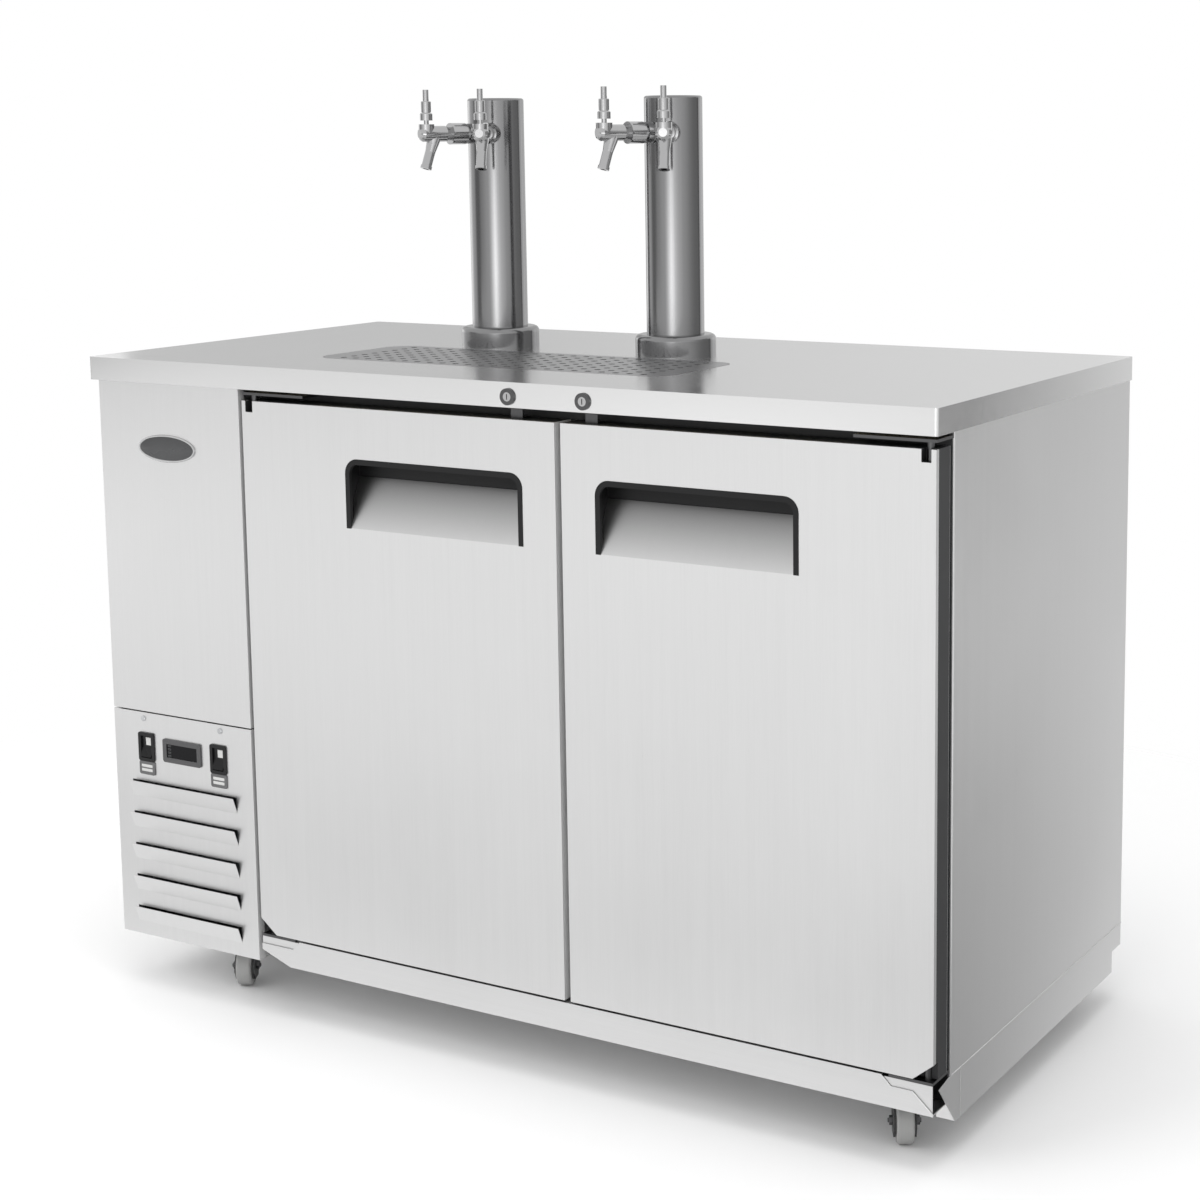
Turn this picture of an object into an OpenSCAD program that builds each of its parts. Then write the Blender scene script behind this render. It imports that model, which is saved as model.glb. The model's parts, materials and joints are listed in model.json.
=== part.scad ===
// Two-door direct draw keg cooler with two draft towers and four taps.
// Origin on the floor below the middle of the worktop, X to the right, Y to the back, Z up.

/* [Worktop] */
// Width of the worktop
worktop_width = 1468; // [1450:1:1500]
// Depth of the worktop
worktop_depth = 714; // [700:1:740]
// Height of the worktop above the floor
worktop_height = 1021; // [1010:1:1040]
// Height of the folded edge
apron_height = 36; // [34:1:44]
// Corner radius seen from above
worktop_corner = 5; // [2:1:10]
// Sheet thickness of the worktop and the drip well
worktop_sheet = 1.5; // [1:0.1:2]
// Empty space behind the front edge, for the locks
lock_space = 34; // [30:1:40]

/* [Cabinet] */
// Overhang of the worktop past the left side
left_overhang = 17; // [8:1:24]
// Overhang of the worktop past the right side
right_overhang = 3; // [1:1:6]
// Distance of the front faces behind the worktop edge
front_setback = 3; // [1:1:6]
// Distance of the back panel in front of the worktop edge
back_setback = 5; // [2:1:10]
// Outer sheet thickness
skin_sheet = 1.5; // [1:0.1:2]
// Inner liner sheet thickness
liner_sheet = 1; // [0.8:0.1:1.5]
// Thickness of the insulated walls
wall = 50; // [44:1:60]
// Thickness of the insulated ceiling
ceiling = 38; // [34:1:44]
// Height of the keg floor above the base
keg_floor = 68; // [64:1:74]
// Depth of the front frame
frame_depth = 16; // [12:1:24]
// Width of the post between the doors
mullion_width = 52; // [50:1:60]
// Depth of the post between the doors
mullion_depth = 56; // [40:1:70]
// Height of the base strip below the doors
strip_height = 44; // [40:1:50]
// Length of the notch at each end of the base strip
strip_notch = 76; // [72:1:90]
// Height of the notch at each end of the base strip
strip_notch_height = 14; // [12:1:18]
// Length of the cut at the strip's lower left corner
strip_cut = 56; // [40:1:70]
// Height of the cut at the strip's lower left corner
strip_cut_height = 20; // [14:1:26]
// Length of the cut at the strip's upper right corner
strip_end_cut = 30; // [20:1:40]
// Top of the side rails above the floor
rail_top = 120; // [110:1:130]
// Underside of the side rails above the floor
rail_bottom = 50; // [44:1:60]
// Width of the side rails
rail_width = 28; // [20:1:30]
// Start of the left rail's skirt behind the front
skirt_setback = 264; // [200:1:300]
// Reach of the right rail's web in front of the frame
gusset = 35; // [20:1:40]
// Rear end of the side rails in front of the back panel
rail_rear_inset = 38; // [20:1:60]
// Height of an air slot in the back panel
slot_height = 8; // [6:1:12]
// Pitch of the air slots in the back panel
slot_pitch = 26; // [20:1:34]
// Number of air slots in the back panel
slot_count = 8; // [4:1:9]

/* [Doors] */
// Thickness of a door without its gasket
door_thickness = 42; // [40:1:48]
// Gap between the doors
door_gap = 10; // [8:1:12]
// Gap between the left door and the service panel
panel_gap = 7; // [7:1:10]
// Gap below the doors
door_foot_gap = 3; // [2:1:5]
// Gap above the doors
door_head_gap = 17; // [15:1:20]
// Sheet thickness of the door skin
door_sheet = 1; // [0.8:0.1:1.5]
// Depth of the skin's folded edge
door_fold = 8; // [5:0.5:8]
// Width of the gasket
gasket_width = 16; // [12:1:17]
// Depth of the gasket
gasket_depth = 10.7; // [8:0.1:14]
// Distance of the gasket from the hinged edge
gasket_hinge_inset = 16; // [16:1:20]
// Distance of the gasket from the other edges
gasket_edge_inset = 3; // [2:1:5]
// Distance of the hinge pin from the door's edge and face
hinge_inset = 14; // [14:0.5:16]
// Radius of the hinge pins
hinge_pin_r = 5; // [4:0.5:5]
// Length of a hinge pin inside the door
hinge_pin_depth = 18; // [12:1:24]
// Width of the notch in front of the top hinge pin
pin_notch = 14; // [12:0.5:15]
// Height of the notch in front of the top hinge pin
pin_notch_height = 17; // [14:1:24]
// Length of the cut at the door's lower hinged corner
corner_cut = 30; // [26:1:36]
// Height of the cut at the door's lower hinged corner
corner_cut_height = 24; // [20:1:30]
// Thickness of the hinge brackets
hinge_plate = 4; // [3:0.5:5]
// Length of the top hinge brackets
top_bracket_length = 118; // [90:1:140]
// Length of the bottom hinge brackets
bottom_bracket_length = 66; // [50:1:70]
// Height of the lock keeper above the door
keeper_height = 13; // [11:1:14]
// Width of the lock keeper
keeper_width = 20; // [14:1:26]
// Depth of the lock keeper's foot
keeper_foot = 18; // [10:1:20]
// Sheet thickness of the lock keeper
keeper_sheet = 2; // [1:0.2:3]

/* [Handles] */
// Width of the handle opening
handle_width = 318; // [280:1:340]
// Height of the handle opening
handle_height = 104; // [90:1:120]
// Distance from the door's top to the handle opening
handle_drop = 75.5; // [60:0.5:100]
// Distance from the door's free edge to the handle opening
handle_edge = 56; // [40:1:90]
// Corner radius at the top of the handle opening
handle_corner = 22; // [10:1:30]
// Depth of the handle cup
cup_depth = 32; // [26:1:34]
// Wall of the handle cup
cup_wall = 1.5; // [1:0.1:2]
// Finger room above the handle opening
finger_rise = 14; // [10:1:20]
// Height of the upright part of the cup's back
cup_back = 44; // [36:1:50]

/* [Front panels] */
// Width of the front panels
panel_width = 289; // [284:1:300]
// Height of the louvred panel
louvre_panel_height = 371; // [366:1:390]
// Gap between the two front panels
panel_joint = 2; // [1:0.5:4]
// Sheet thickness of the front panels
panel_sheet = 1; // [0.8:0.1:1.5]
// Depth of the panels' folded edge
panel_fold = 14; // [10:1:20]
// Number of louvres
louvre_count = 5; // [3:1:5]
// Width of a louvre
louvre_width = 220; // [180:1:230]
// Height of a louvre blade
louvre_height = 26; // [20:1:30]
// Distance that a louvre stands out
louvre_depth = 9; // [6:0.5:10]
// Top of the highest louvre below the panel's top edge
louvre_drop = 113; // [108:1:120]
// Foot of the lowest louvre above the panel's lower edge
louvre_foot = 21.6; // [18:0.1:26]
// Centre of the controls below the panel's top edge
control_drop = 56; // [52:1:60]
// Distance of the switches from the controller's centre
switch_offset = 76; // [70:1:82]
// Width of a switch frame
switch_width = 33; // [30:1:36]
// Height of a switch frame
switch_height = 47; // [44:1:52]
// Width of the rocker
rocker_width = 21.4; // [18:0.2:22]
// Half height of the rocker
rocker_half = 17; // [14:0.5:17]
// Tilt of the rocker from level
rocker_tilt = 8; // [6:1:8]
// Width of the controller's bezel
controller_width = 80; // [76:1:84]
// Height of the controller's bezel
controller_height = 38; // [34:1:42]
// Depth of the controller behind the panel
controller_depth = 60; // [50:1:70]
// Distance that the bezels stand out
bezel_stand = 2.5; // [2:0.1:4]
// Radius of the panel screws
screw_r = 4.5; // [4:0.1:5]
// Distance of the panel screws from the panel's top edge
screw_drop = 10; // [8:1:12]
// Distance of the panel screws from the middle
screw_offset = 81; // [70:1:90]

/* [Locks] */
// Left lock, distance from the left door's free edge
left_lock_edge = 75; // [60:1:90]
// Right lock, distance from the right door's free edge
right_lock_edge = 41; // [36:1:60]
// Height of the locks above the worktop's lower edge
lock_rise = 15.5; // [14:0.5:17]
// Radius of a lock barrel
lock_r = 9.5; // [9:0.1:10]
// Radius of a lock plug
plug_r = 6.5; // [5:0.1:7]
// Radius of the lock's front flange
lock_flange_r = 12; // [11.5:0.1:12.5]
// Thickness of the lock's front flange
lock_flange = 3; // [2:0.2:4]
// Length of the lock barrel behind the worktop edge
lock_length = 15; // [13:0.5:16]
// Length of the tongue from the lock's axis
tongue_length = 28; // [26:0.5:29]
// Width of the tongue
tongue_width = 12; // [8:0.5:13]
// Thickness of the tongue
tongue_sheet = 3; // [2:0.2:3]

/* [Drip tray] */
// Left edge of the drip tray from the cold space's left side
tray_inset = 27; // [24:1:40]
// Front edge of the drip tray behind the worktop's front edge
tray_setback = 147; // [120:1:160]
// Width of the drip tray
tray_width = 640; // [600:1:660]
// Depth of the drip tray
tray_depth = 216; // [180:1:224]
// Corner radius of the drip tray
tray_corner = 38; // [20:1:60]
// Gap round the drip plate
tray_gap = 1; // [0.5:0.1:2]
// Ledge that carries the drip plate
tray_ledge = 8; // [6:1:12]
// Depth of the drip well
well_depth = 28; // [20:1:30]
// Width of the flange under the worktop
well_flange = 10; // [6:1:12]
// Radius of the holes in the drip plate
drip_hole_r = 5; // [3:0.5:6]
// Pitch of the holes along the drip plate
drip_pitch = 24; // [18:1:30]
// Pitch of the holes across the drip plate
drip_row_pitch = 25; // [20:1:26]
// Number of hole rows
drip_rows = 8; // [4:1:8]
// Outer radius of the drain inside the ceiling
drain_r = 11; // [10.5:0.5:14]
// Outer radius of the drain's hose tail
hose_r = 9.5; // [8:0.5:10]
// Wall of the hose tail
drain_wall = 2; // [1.5:0.5:3]
// Length of the hose tail below the keg ceiling
drain_drop = 45; // [30:1:80]

/* [Towers] */
// Distance of each tower from the middle of the tray
tower_offset = 168; // [140:1:200]
// Tower axis behind the drip tray's rear edge
tower_setback = 69; // [66:1:90]
// Outer radius of the columns
column_r = 45; // [42:0.5:47]
// Wall of the columns
column_wall = 1.5; // [1.2:0.1:2]
// Height of the towers above the worktop
tower_height = 400; // [380:1:440]
// Height of the cap above the column
cap_height = 8; // [6:0.5:12]
// Depth of the cap's plug inside the column
cap_plug = 10; // [6:1:14]
// Radius of the foot flange
flange_r = 63; // [58:0.5:66]
// Height of the foot flange
flange_height = 33; // [26:1:40]
// Edge radius of the foot flange
flange_edge = 8; // [4:0.5:10]
// Radius of the beer line passage
passage_r = 32; // [26:1:35]

/* [Taps] */
// Angle of each tap from straight ahead
tap_angle = 25; // [25:1:32]
// Tap axis below the tower's top
tap_drop = 56; // [46:1:70]
// Lever axis in front of the tower's axis
tap_reach = 125; // [122:1:140]
// Radius of the shank
shank_r = 11; // [10:0.2:11.4]
// Radius of the flow bore
flow_r = 4; // [3:0.2:5]
// Inner end of the shank from the tower's axis
shank_inner = 28; // [28:0.5:32]
// Radius of the shank's collar
collar_r = 16; // [14:0.5:16]
// Outer face of the collar from the tower's axis
collar_face = 53; // [51:0.5:54]
// Radius of the coupling nut
nut_r = 17; // [16:0.5:19]
// Inner face of the coupling nut from the tower's axis
nut_inner = 58; // [56:0.5:60]
// Length of the coupling nut
nut_length = 26; // [22:0.5:28]
// Number of spanner notches in the coupling nut
nut_notches = 8; // [4:1:10]
// Radius of a spanner notch
notch_r = 2; // [1.5:0.1:2.5]
// Radius of the tap's tail flange
tail_r = 14; // [13:0.2:14.5]
// Radius of the tap's barrel
barrel_r = 10.5; // [9.5:0.1:11]
// Radius of the bonnet
bonnet_r = 12.5; // [12.2:0.1:13.5]
// Top of the bonnet above the tap's axis
bonnet_top = 15; // [14:0.5:16]
// Radius of the opening in the bonnet
bonnet_mouth = 9.8; // [9.7:0.1:10.2]
// Radius of the lever's ball
ball_r = 7; // [6.4:0.1:7]
// Height of the lever's ball above the tap's axis
ball_rise = 6; // [5.5:0.1:6]
// Radius of the lever's neck
neck_r = 4; // [3:0.1:4.1]
// Radius of the lever's ferrule
ferrule_r = 10; // [8:0.2:10.2]
// Underside of the ferrule above the tap's axis
ferrule_rise = 21; // [20.5:0.5:24]
// Height of the ferrule
ferrule_height = 12; // [8:0.5:14]
// Radius of the lever's collar
lever_collar_r = 8; // [7:0.2:9]
// Height of the lever's collar
lever_collar = 18; // [14:0.5:22]
// Radius of the handle stud
stud_r = 4.76; // [4:0.01:5]
// Length of the handle stud
stud_length = 18; // [12:0.5:24]
// Tilt of the spout
spout_tilt = 18; // [12:1:22]
// Top of the spout behind the lever's axis
spout_back = 15; // [10:0.5:18]
// Radius at the top of the spout
spout_top_r = 12; // [10:0.2:12.5]
// Radius at the mouth of the spout
spout_r = 8; // [7:0.2:9]
// Length of the tapered part of the spout
spout_taper = 30; // [24:1:36]
// Length of the spout
spout_length = 58; // [50:1:64]
// Length of the lip at the spout's mouth
spout_lip = 5; // [3:0.5:8]

/* [Casters] */
// Total height of a caster
caster_height = 84; // [82:1:90]
// Left casters from the left side
caster_left_inset = 177; // [140:1:200]
// Right casters from the right side
caster_right_inset = 91; // [91:1:120]
// Front casters from the front face
caster_front_inset = 99; // [92:1:120]
// Rear casters from the back panel
caster_rear_inset = 97; // [90:1:120]
// Radius of the wheels
wheel_r = 31.5; // [28:0.5:31.5]
// Width of the wheels
wheel_width = 24; // [20:1:28]
// Radius of the tread's rounded shoulder
tread_edge = 4; // [2:0.5:6]
// Radius of the wheel axle
axle_r = 5; // [4:0.5:6]
// Distance of the axle from the swivel axis
trail = 25; // [22:1:26]
// Half width of the fork legs at the axle
leg_half = 20; // [16:0.5:22]
// Turn of the casters at rest, from trailing straight to the front toward the right
caster_turn = 30; // [0:5:45]
// Sheet thickness of the fork
fork_sheet = 3; // [2:0.5:4]
// Gap between wheel and fork
fork_gap = 1; // [0.5:0.1:2]
// Radius of the swivel race
race_r = 20; // [18:0.5:24]
// Thickness of the caster plates
caster_plate = 4; // [3:0.5:5]
// Side length of the caster plates
caster_plate_side = 64; // [56:1:70]
// Radius of the kingpin
kingpin_r = 6; // [5:0.5:7]
// Radius of the kingpin's head
kingpin_head_r = 9; // [8:0.5:9]
// Height of the kingpin's head
kingpin_head = 3; // [2:0.5:3]

/* [Refrigeration] */
// Width of the condenser
condenser_width = 230; // [200:1:240]
// Height of the condenser
condenser_height = 220; // [200:1:240]
// Depth of the condenser
condenser_depth = 44; // [36:1:52]
// Distance of the condenser behind the louvred panel
condenser_setback = 18; // [16:1:24]
// Height of the condenser above the base
condenser_rise = 40; // [20:1:50]
// Number of fins
fin_count = 22; // [12:1:30]
// Thickness of a fin
fin_sheet = 0.8; // [0.6:0.1:1.2]
// Radius of the condenser tubes
tube_r = 4; // [3:0.5:5]
// Rows of condenser tubes
tube_rows = 6; // [4:1:7]
// Thickness of the fan shroud
shroud_sheet = 2; // [1.5:0.1:3]
// Length of the shroud's duct
shroud_duct = 24; // [18:1:30]
// Radius of the condenser fan
fan_r = 92; // [80:1:98]
// Gap between fan and shroud
fan_gap = 4; // [3:0.5:8]
// Radius of a fan's hub
hub_r = 24; // [20:0.5:28]
// Depth of a fan's hub
hub_depth = 20; // [16:0.5:24]
// Number of fan blades
blade_count = 5; // [3:1:7]
// Thickness of a fan blade
blade_sheet = 1.5; // [1:0.1:2.5]
// Width of a fan blade
blade_width = 30; // [24:1:34]
// Pitch angle of a fan blade
blade_pitch = 28; // [20:1:34]
// Radius of a motor shaft
shaft_r = 3; // [2.5:0.1:4]
// Radius of a fan motor
motor_r = 30; // [26:0.5:32]
// Length of a fan motor
motor_length = 55; // [45:1:70]
// Radius of the compressor shell
shell_r = 82; // [70:1:90]
// Height of the compressor shell
shell_height = 190; // [160:1:210]
// Compressor axis from the cabinet's middle, to the back
compressor_y = 120; // [80:1:160]
// Height of the compressor feet
foot_height = 14; // [10:1:20]
// Width of the evaporator housing
evaporator_depth = 96; // [90:1:110]
// Length of the evaporator housing, front to back
evaporator_length = 330; // [300:1:380]
// Height of the evaporator housing
evaporator_height = 230; // [214:1:260]
// Sheet thickness of the evaporator housing
evaporator_sheet = 1.2; // [1:0.1:2]
// Number of air slots in the evaporator's drip pan
pan_slots = 4; // [2:1:6]
// Radius of the evaporator fan
cold_fan_r = 80; // [70:1:84]
// Thickness of the evaporator coil
coil_depth = 30; // [24:1:32]
// Rows of evaporator tubes
coil_rows = 5; // [3:1:6]
// Radius of the cord gland's hole
gland_r = 5; // [4:0.5:7]

/* [Hidden] */
$fn = 64;
// Gap between curved faces that pass each other
pass_gap = 0.3;
// Radial clearance of pins and shafts in their holes
fit = 0.05;
// Gap below the drip plate and behind the gaskets
seat_gap = 0.2;
// Overlap of a cutting shape past the face that it cuts
over = 1;
// Height of a turning part's end gap
end_gap = 0.4;
// Gap between foam slabs and between sheets of the evaporator housing
seam = 0.2;

left_edge = -worktop_width / 2;
right_edge = worktop_width / 2;
body_left = left_edge + left_overhang;
body_right = right_edge - right_overhang;
front = -worktop_depth / 2 + front_setback;
back = worktop_depth / 2 - back_setback;
base = caster_height;
under_top = worktop_height - apron_height;
sheet_under = worktop_height - worktop_sheet;

door_back = front + door_thickness;
frame_front = door_back + gasket_depth + seat_gap;
frame_back = frame_front + frame_depth;
door_bottom = base + strip_height + door_foot_gap;
door_top = under_top - door_head_gap;
panel_right = body_left + panel_width;
door_width = (body_right - panel_right - panel_gap - door_gap) / 2;
left_door = [panel_right + panel_gap, panel_right + panel_gap + door_width];
right_door = [body_right - door_width, body_right];
mullion_x = right_door[0] - door_gap / 2;
hinge_y = front + hinge_inset;
left_hinge_x = left_door[0] + hinge_inset;
right_hinge_x = right_door[1] - hinge_inset;

cold_left = panel_right - panel_sheet;
cold_right = body_right - skin_sheet;
cold_back = back - skin_sheet;
partition = [cold_left - skin_sheet, cold_left];
keg_x = [cold_left + wall, body_right - wall];
keg_y = [frame_back, back - wall];
keg_z = [base + keg_floor, under_top - ceiling];
machine_x = [body_left + skin_sheet, partition[0]];
base_sheet = skin_sheet;

handle_top = door_top - handle_drop;
handle_bottom = handle_top - handle_height;
lock_x = [left_door[1] - left_lock_edge, right_door[0] + right_lock_edge];
lock_z = under_top + lock_rise;
lock_front = -worktop_depth / 2;
lock_back = lock_front + worktop_sheet + lock_length;
key_width = 1.4;
key_height = 8;
key_depth = 6;
tongue_y = [lock_back + end_gap, lock_back + end_gap + tongue_sheet];
keeper_y = tongue_y[1] + end_gap;

tray_front = -worktop_depth / 2 + tray_setback;
tray_x = cold_left + tray_inset + tray_width / 2;
tray_y = tray_front + tray_depth / 2;
tower_y = tray_front + tray_depth + tower_setback;
tower_x = [tray_x - tower_offset, tray_x + tower_offset];
shaft_y = [tower_y - passage_r, tower_y + passage_r];
well_floor = worktop_height - well_depth;
tap_z = worktop_height + tower_height - tap_drop;
lip_step = 1;
lever_bevel = 1;
nut_outer = nut_inner + nut_length;
nut_ring = 3;
tail_depth = 3;
tail_x = nut_outer - nut_ring - tail_depth;

wheel_play = 2;
caster_x = [body_left + caster_left_inset, body_right - caster_right_inset];
caster_y = [front + caster_front_inset, back - caster_rear_inset];
yoke_under = 2 * wheel_r + fork_gap + wheel_play;
yoke_z = [yoke_under, yoke_under + fork_sheet];
plate_under = base - caster_plate;
wheel_trail = -trail;
rim_r = wheel_r * 0.72;
wheel_hub_r = wheel_r * 0.4;

louvre_top = base + louvre_panel_height - louvre_drop;
louvre_pitch = (louvre_top - base - louvre_height - louvre_foot) / (louvre_count - 1);
control_z = base + louvre_panel_height - control_drop;
panel_mid = (body_left + panel_right) / 2;
switch_x = [panel_mid - switch_offset, panel_mid + switch_offset];
bezel_rim = 4;
frame_lip = 3;
rocker_depth = 6;
rocker_taper = 2;
rocker_y = front + rocker_depth * 2 / 3;
rocker_room = rocker_width + 2 * pass_gap;
switch_body = switch_width - 2 * frame_lip;
switch_body_height = switch_height - 2 * frame_lip;
switch_depth = 22;
rocker_pin_r = 1.5;
rocker_pin = 1.6;
screw_shank_r = 2;
screw_length = 12;
screw_crown = 1;

machine_mid = (machine_x[0] + machine_x[1]) / 2;
foot_r = 12;
foot_spread = shell_r * 0.6;
motor_stand = 14;
dome_steps = 5;
condenser_front = front + condenser_setback;
condenser_back = condenser_front + condenser_depth;
condenser_z = [base + condenser_rise, base + condenser_rise + condenser_height];
fan_z = (condenser_z[0] + condenser_z[1]) / 2;
fan_y = condenser_back + shroud_sheet + shroud_duct / 2;
motor_y = fan_y + hub_depth / 2 + end_gap;
evaporator_x = [keg_x[0], keg_x[0] + evaporator_depth];
evaporator_z = [keg_z[1] - evaporator_height, keg_z[1]];
evaporator_mid_y = (keg_y[0] + keg_y[1]) / 2;
cold_fan_z = (evaporator_z[0] + evaporator_z[1]) / 2;
cold_fan_x = evaporator_x[1] - hub_depth / 2 - fan_gap;
cold_motor_length = cold_fan_x - hub_depth / 2 - end_gap - evaporator_x[0] - coil_depth;

steel = [0.82, 0.82, 0.82];
bright = [0.88, 0.88, 0.88];
dark = [0.15, 0.15, 0.16];
black = [0.07, 0.07, 0.075];
foam = [0.86, 0.82, 0.66];
light_grey = [0.72, 0.72, 0.72];
alloy = [0.76, 0.78, 0.8];

// Block between two limits on each axis
module block(x, y, z) {
    translate([x[0], y[0], z[0]])
        cube([x[1] - x[0], y[1] - y[0], z[1] - z[0]]);
}

// Round bar along X
module rod_x(r, x) {
    translate([x[0], 0, 0])
        rotate([0, 90, 0])
            cylinder(r = r, h = x[1] - x[0]);
}

// Round bar along Y
module rod_y(r, y) {
    translate([0, y[0], 0])
        rotate([-90, 0, 0])
            cylinder(r = r, h = y[1] - y[0]);
}

// Round bar along Z
module rod_z(r, z) {
    translate([0, 0, z[0]])
        cylinder(r = r, h = z[1] - z[0]);
}

// Rectangle with round corners, centred
module round_rect(w, d, r) {
    square([w - 2 * r, d], center = true);
    square([w, d - 2 * r], center = true);
    for (x = [-1, 1], y = [-1, 1])
        translate([x * (w / 2 - r), y * (d / 2 - r)])
            circle(r = r);
}

// Plate with round corners, centred at x and y
module round_plate(x, y, w, d, r, z) {
    translate([x, y, z[0]])
        linear_extrude(z[1] - z[0])
            round_rect(w, d, r);
}

// Profile in the Y-Z plane, extruded along X
module across(points, x) {
    translate([x[0], 0, 0])
        rotate([90, 0, 90])
            linear_extrude(x[1] - x[0])
                polygon(points);
}

// Folded sheet pan, open to the back
module front_pan(x, z, sheet, fold) {
    difference() {
        block(x, [front, front + fold], z);
        block([x[0] + sheet, x[1] - sheet], [front + sheet, front + fold + over],
            [z[0] + sheet, z[1] - sheet]);
    }
}

// Each tower in turn
module at_towers() {
    for (x = tower_x)
        translate([x, tower_y, 0])
            children();
}

// One tap's frame: X points out of the tower along the tap's axis
module at_tap(tower, side) {
    translate([tower_x[tower], tower_y, tap_z])
        rotate([0, 0, side * tap_angle - 90])
            children();
}

// Every tap in turn
module at_taps() {
    for (tower = [0, 1], side = [-1, 1])
        at_tap(tower, side)
            children();
}

module worktop() {
    color(steel)
        difference() {
            round_plate(0, 0, worktop_width, worktop_depth, worktop_corner, [under_top, worktop_height]);
            block([left_edge + worktop_sheet, right_edge - worktop_sheet],
                [-worktop_depth / 2 + worktop_sheet, worktop_depth / 2 - worktop_sheet],
                [under_top - over, sheet_under]);
            round_plate(tray_x, tray_y, tray_width + 2 * tray_gap, tray_depth + 2 * tray_gap,
                tray_corner + tray_gap, [sheet_under - over, worktop_height + over]);
            at_towers()
                rod_z(passage_r, [sheet_under - over, worktop_height + over]);
            for (x = lock_x)
                translate([x, 0, lock_z])
                    rod_y(lock_r + fit, [lock_front - over, lock_front + worktop_sheet + over]);
        }
}

// Space that the drip well takes up below the worktop sheet, with its wall at the given inset
module well_space(inset, z) {
    round_plate(tray_x, tray_y, tray_width - 2 * inset, tray_depth - 2 * inset, tray_corner - inset, z);
}

// Space of the well's flange
module well_flange_space(z) {
    well_space(-tray_gap - well_flange, z);
}

// Drain from the well's floor through the ceiling, with its hose tail
module drain() {
    rod_z(drain_r, [keg_z[1], well_floor]);
    rod_z(hose_r, [keg_z[1] - drain_drop, well_floor]);
}

module drip_well() {
    color(steel)
        difference() {
            union() {
                well_flange_space([sheet_under - worktop_sheet, sheet_under]);
                well_space(tray_ledge, [well_floor - worktop_sheet, sheet_under]);
                translate([tray_x, tray_y, 0])
                    drain();
            }
            well_space(tray_ledge + worktop_sheet, [well_floor, sheet_under + over]);
            translate([tray_x, tray_y, 0])
                rod_z(hose_r - drain_wall, [keg_z[1] - drain_drop - over, well_floor + over]);
        }
}

module drip_plate() {
    columns = floor((tray_width - 2 * tray_corner) / drip_pitch);
    color(light_grey)
        difference() {
            well_space(0, [sheet_under + seat_gap, worktop_height]);
            for (i = [0 : columns], j = [0 : drip_rows - 1])
                translate([tray_x + (i - columns / 2) * drip_pitch,
                    tray_y + (j - (drip_rows - 1) / 2) * drip_row_pitch, 0])
                    rod_z(drip_hole_r, [sheet_under, worktop_height + over]);
        }
}

module side_panels() {
    color(steel) {
        block([cold_right, body_right], [frame_front, back], [rail_top, under_top]);
        block([body_left, machine_x[0]], [front + panel_fold, back], [rail_top, under_top]);
        block(partition, [front + panel_fold, cold_back], [base + base_sheet, under_top]);
    }
}

module back_panel() {
    slot_x = [machine_x[0] + rail_width, machine_x[1] - rail_width];
    color(alloy)
        difference() {
            block([machine_x[0], cold_right], [cold_back, back], [base, under_top]);
            for (i = [0 : slot_count - 1])
                block(slot_x, [cold_back - over, back + over],
                    [rail_top + (i + 1) * slot_pitch, rail_top + (i + 1) * slot_pitch + slot_height]);
            translate([machine_mid, 0, rail_top + (slot_count + 2) * slot_pitch])
                rod_y(gland_r, [cold_back - over, back + over]);
        }
}

// Slabs in a row along X that leave the two beer line shafts open
module beside_shafts(x, y, z) {
    block([x[0], tower_x[0] - passage_r], y, z);
    block([tower_x[0] + passage_r, tower_x[1] - passage_r], y, z);
    block([tower_x[1] + passage_r, x[1]], y, z);
}

// Foam slabs of the cold space: floor, walls and ceiling
module insulation() {
    x = [cold_left, cold_right];
    y = [frame_back, cold_back];
    floor_top = keg_z[0] - liner_sheet;
    ceiling_low = keg_z[1] + liner_sheet;
    walls = [floor_top + seam, ceiling_low - seam];
    top = [ceiling_low, under_top];
    inner = [keg_x[0] - liner_sheet, keg_x[1] + liner_sheet];
    color(foam) {
        block(x, y, [base + base_sheet, floor_top]);
        block([x[0], inner[0]], y, walls);
        block([inner[1], x[1]], y, walls);
        block([inner[0] + seam, inner[1] - seam], [keg_y[1] + liner_sheet, y[1]], walls);
        difference() {
            block(x, [y[0], shaft_y[0] - seam], top);
            translate([tray_x, tray_y, 0])
                rod_z(drain_r, [ceiling_low - over, under_top + over]);
        }
        beside_shafts(x, shaft_y, top);
        block(x, [shaft_y[1] + seam, y[1]], top);
    }
}

// Filler boards under the worktop sheet, round the drip well and the beer line shafts
module worktop_filler() {
    x = [left_edge + worktop_sheet, right_edge - worktop_sheet];
    y = [-worktop_depth / 2 + worktop_sheet + lock_space, worktop_depth / 2 - worktop_sheet];
    z = [under_top, sheet_under];
    well_x = [tray_x - tray_width / 2 + tray_ledge, tray_x + tray_width / 2 - tray_ledge];
    well_y = [tray_front + tray_ledge, tray_front + tray_depth - tray_ledge];
    color(foam)
        difference() {
            union() {
                block(x, [y[0], well_y[0] - seam], z);
                block([x[0], well_x[0]], well_y, z);
                block([well_x[1], x[1]], well_y, z);
                block([well_x[0] + seam, well_x[1] - seam], [well_y[0] + seam, well_y[1] - seam],
                    [under_top, well_floor - worktop_sheet]);
                block(x, [well_y[1] + seam, shaft_y[0] - seam], z);
                beside_shafts(x, shaft_y, z);
                block(x, [shaft_y[1] + seam, y[1]], z);
            }
            well_flange_space([sheet_under - worktop_sheet, sheet_under + over]);
            translate([tray_x, tray_y, 0])
                rod_z(drain_r, [under_top - over, well_floor]);
        }
}

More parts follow.
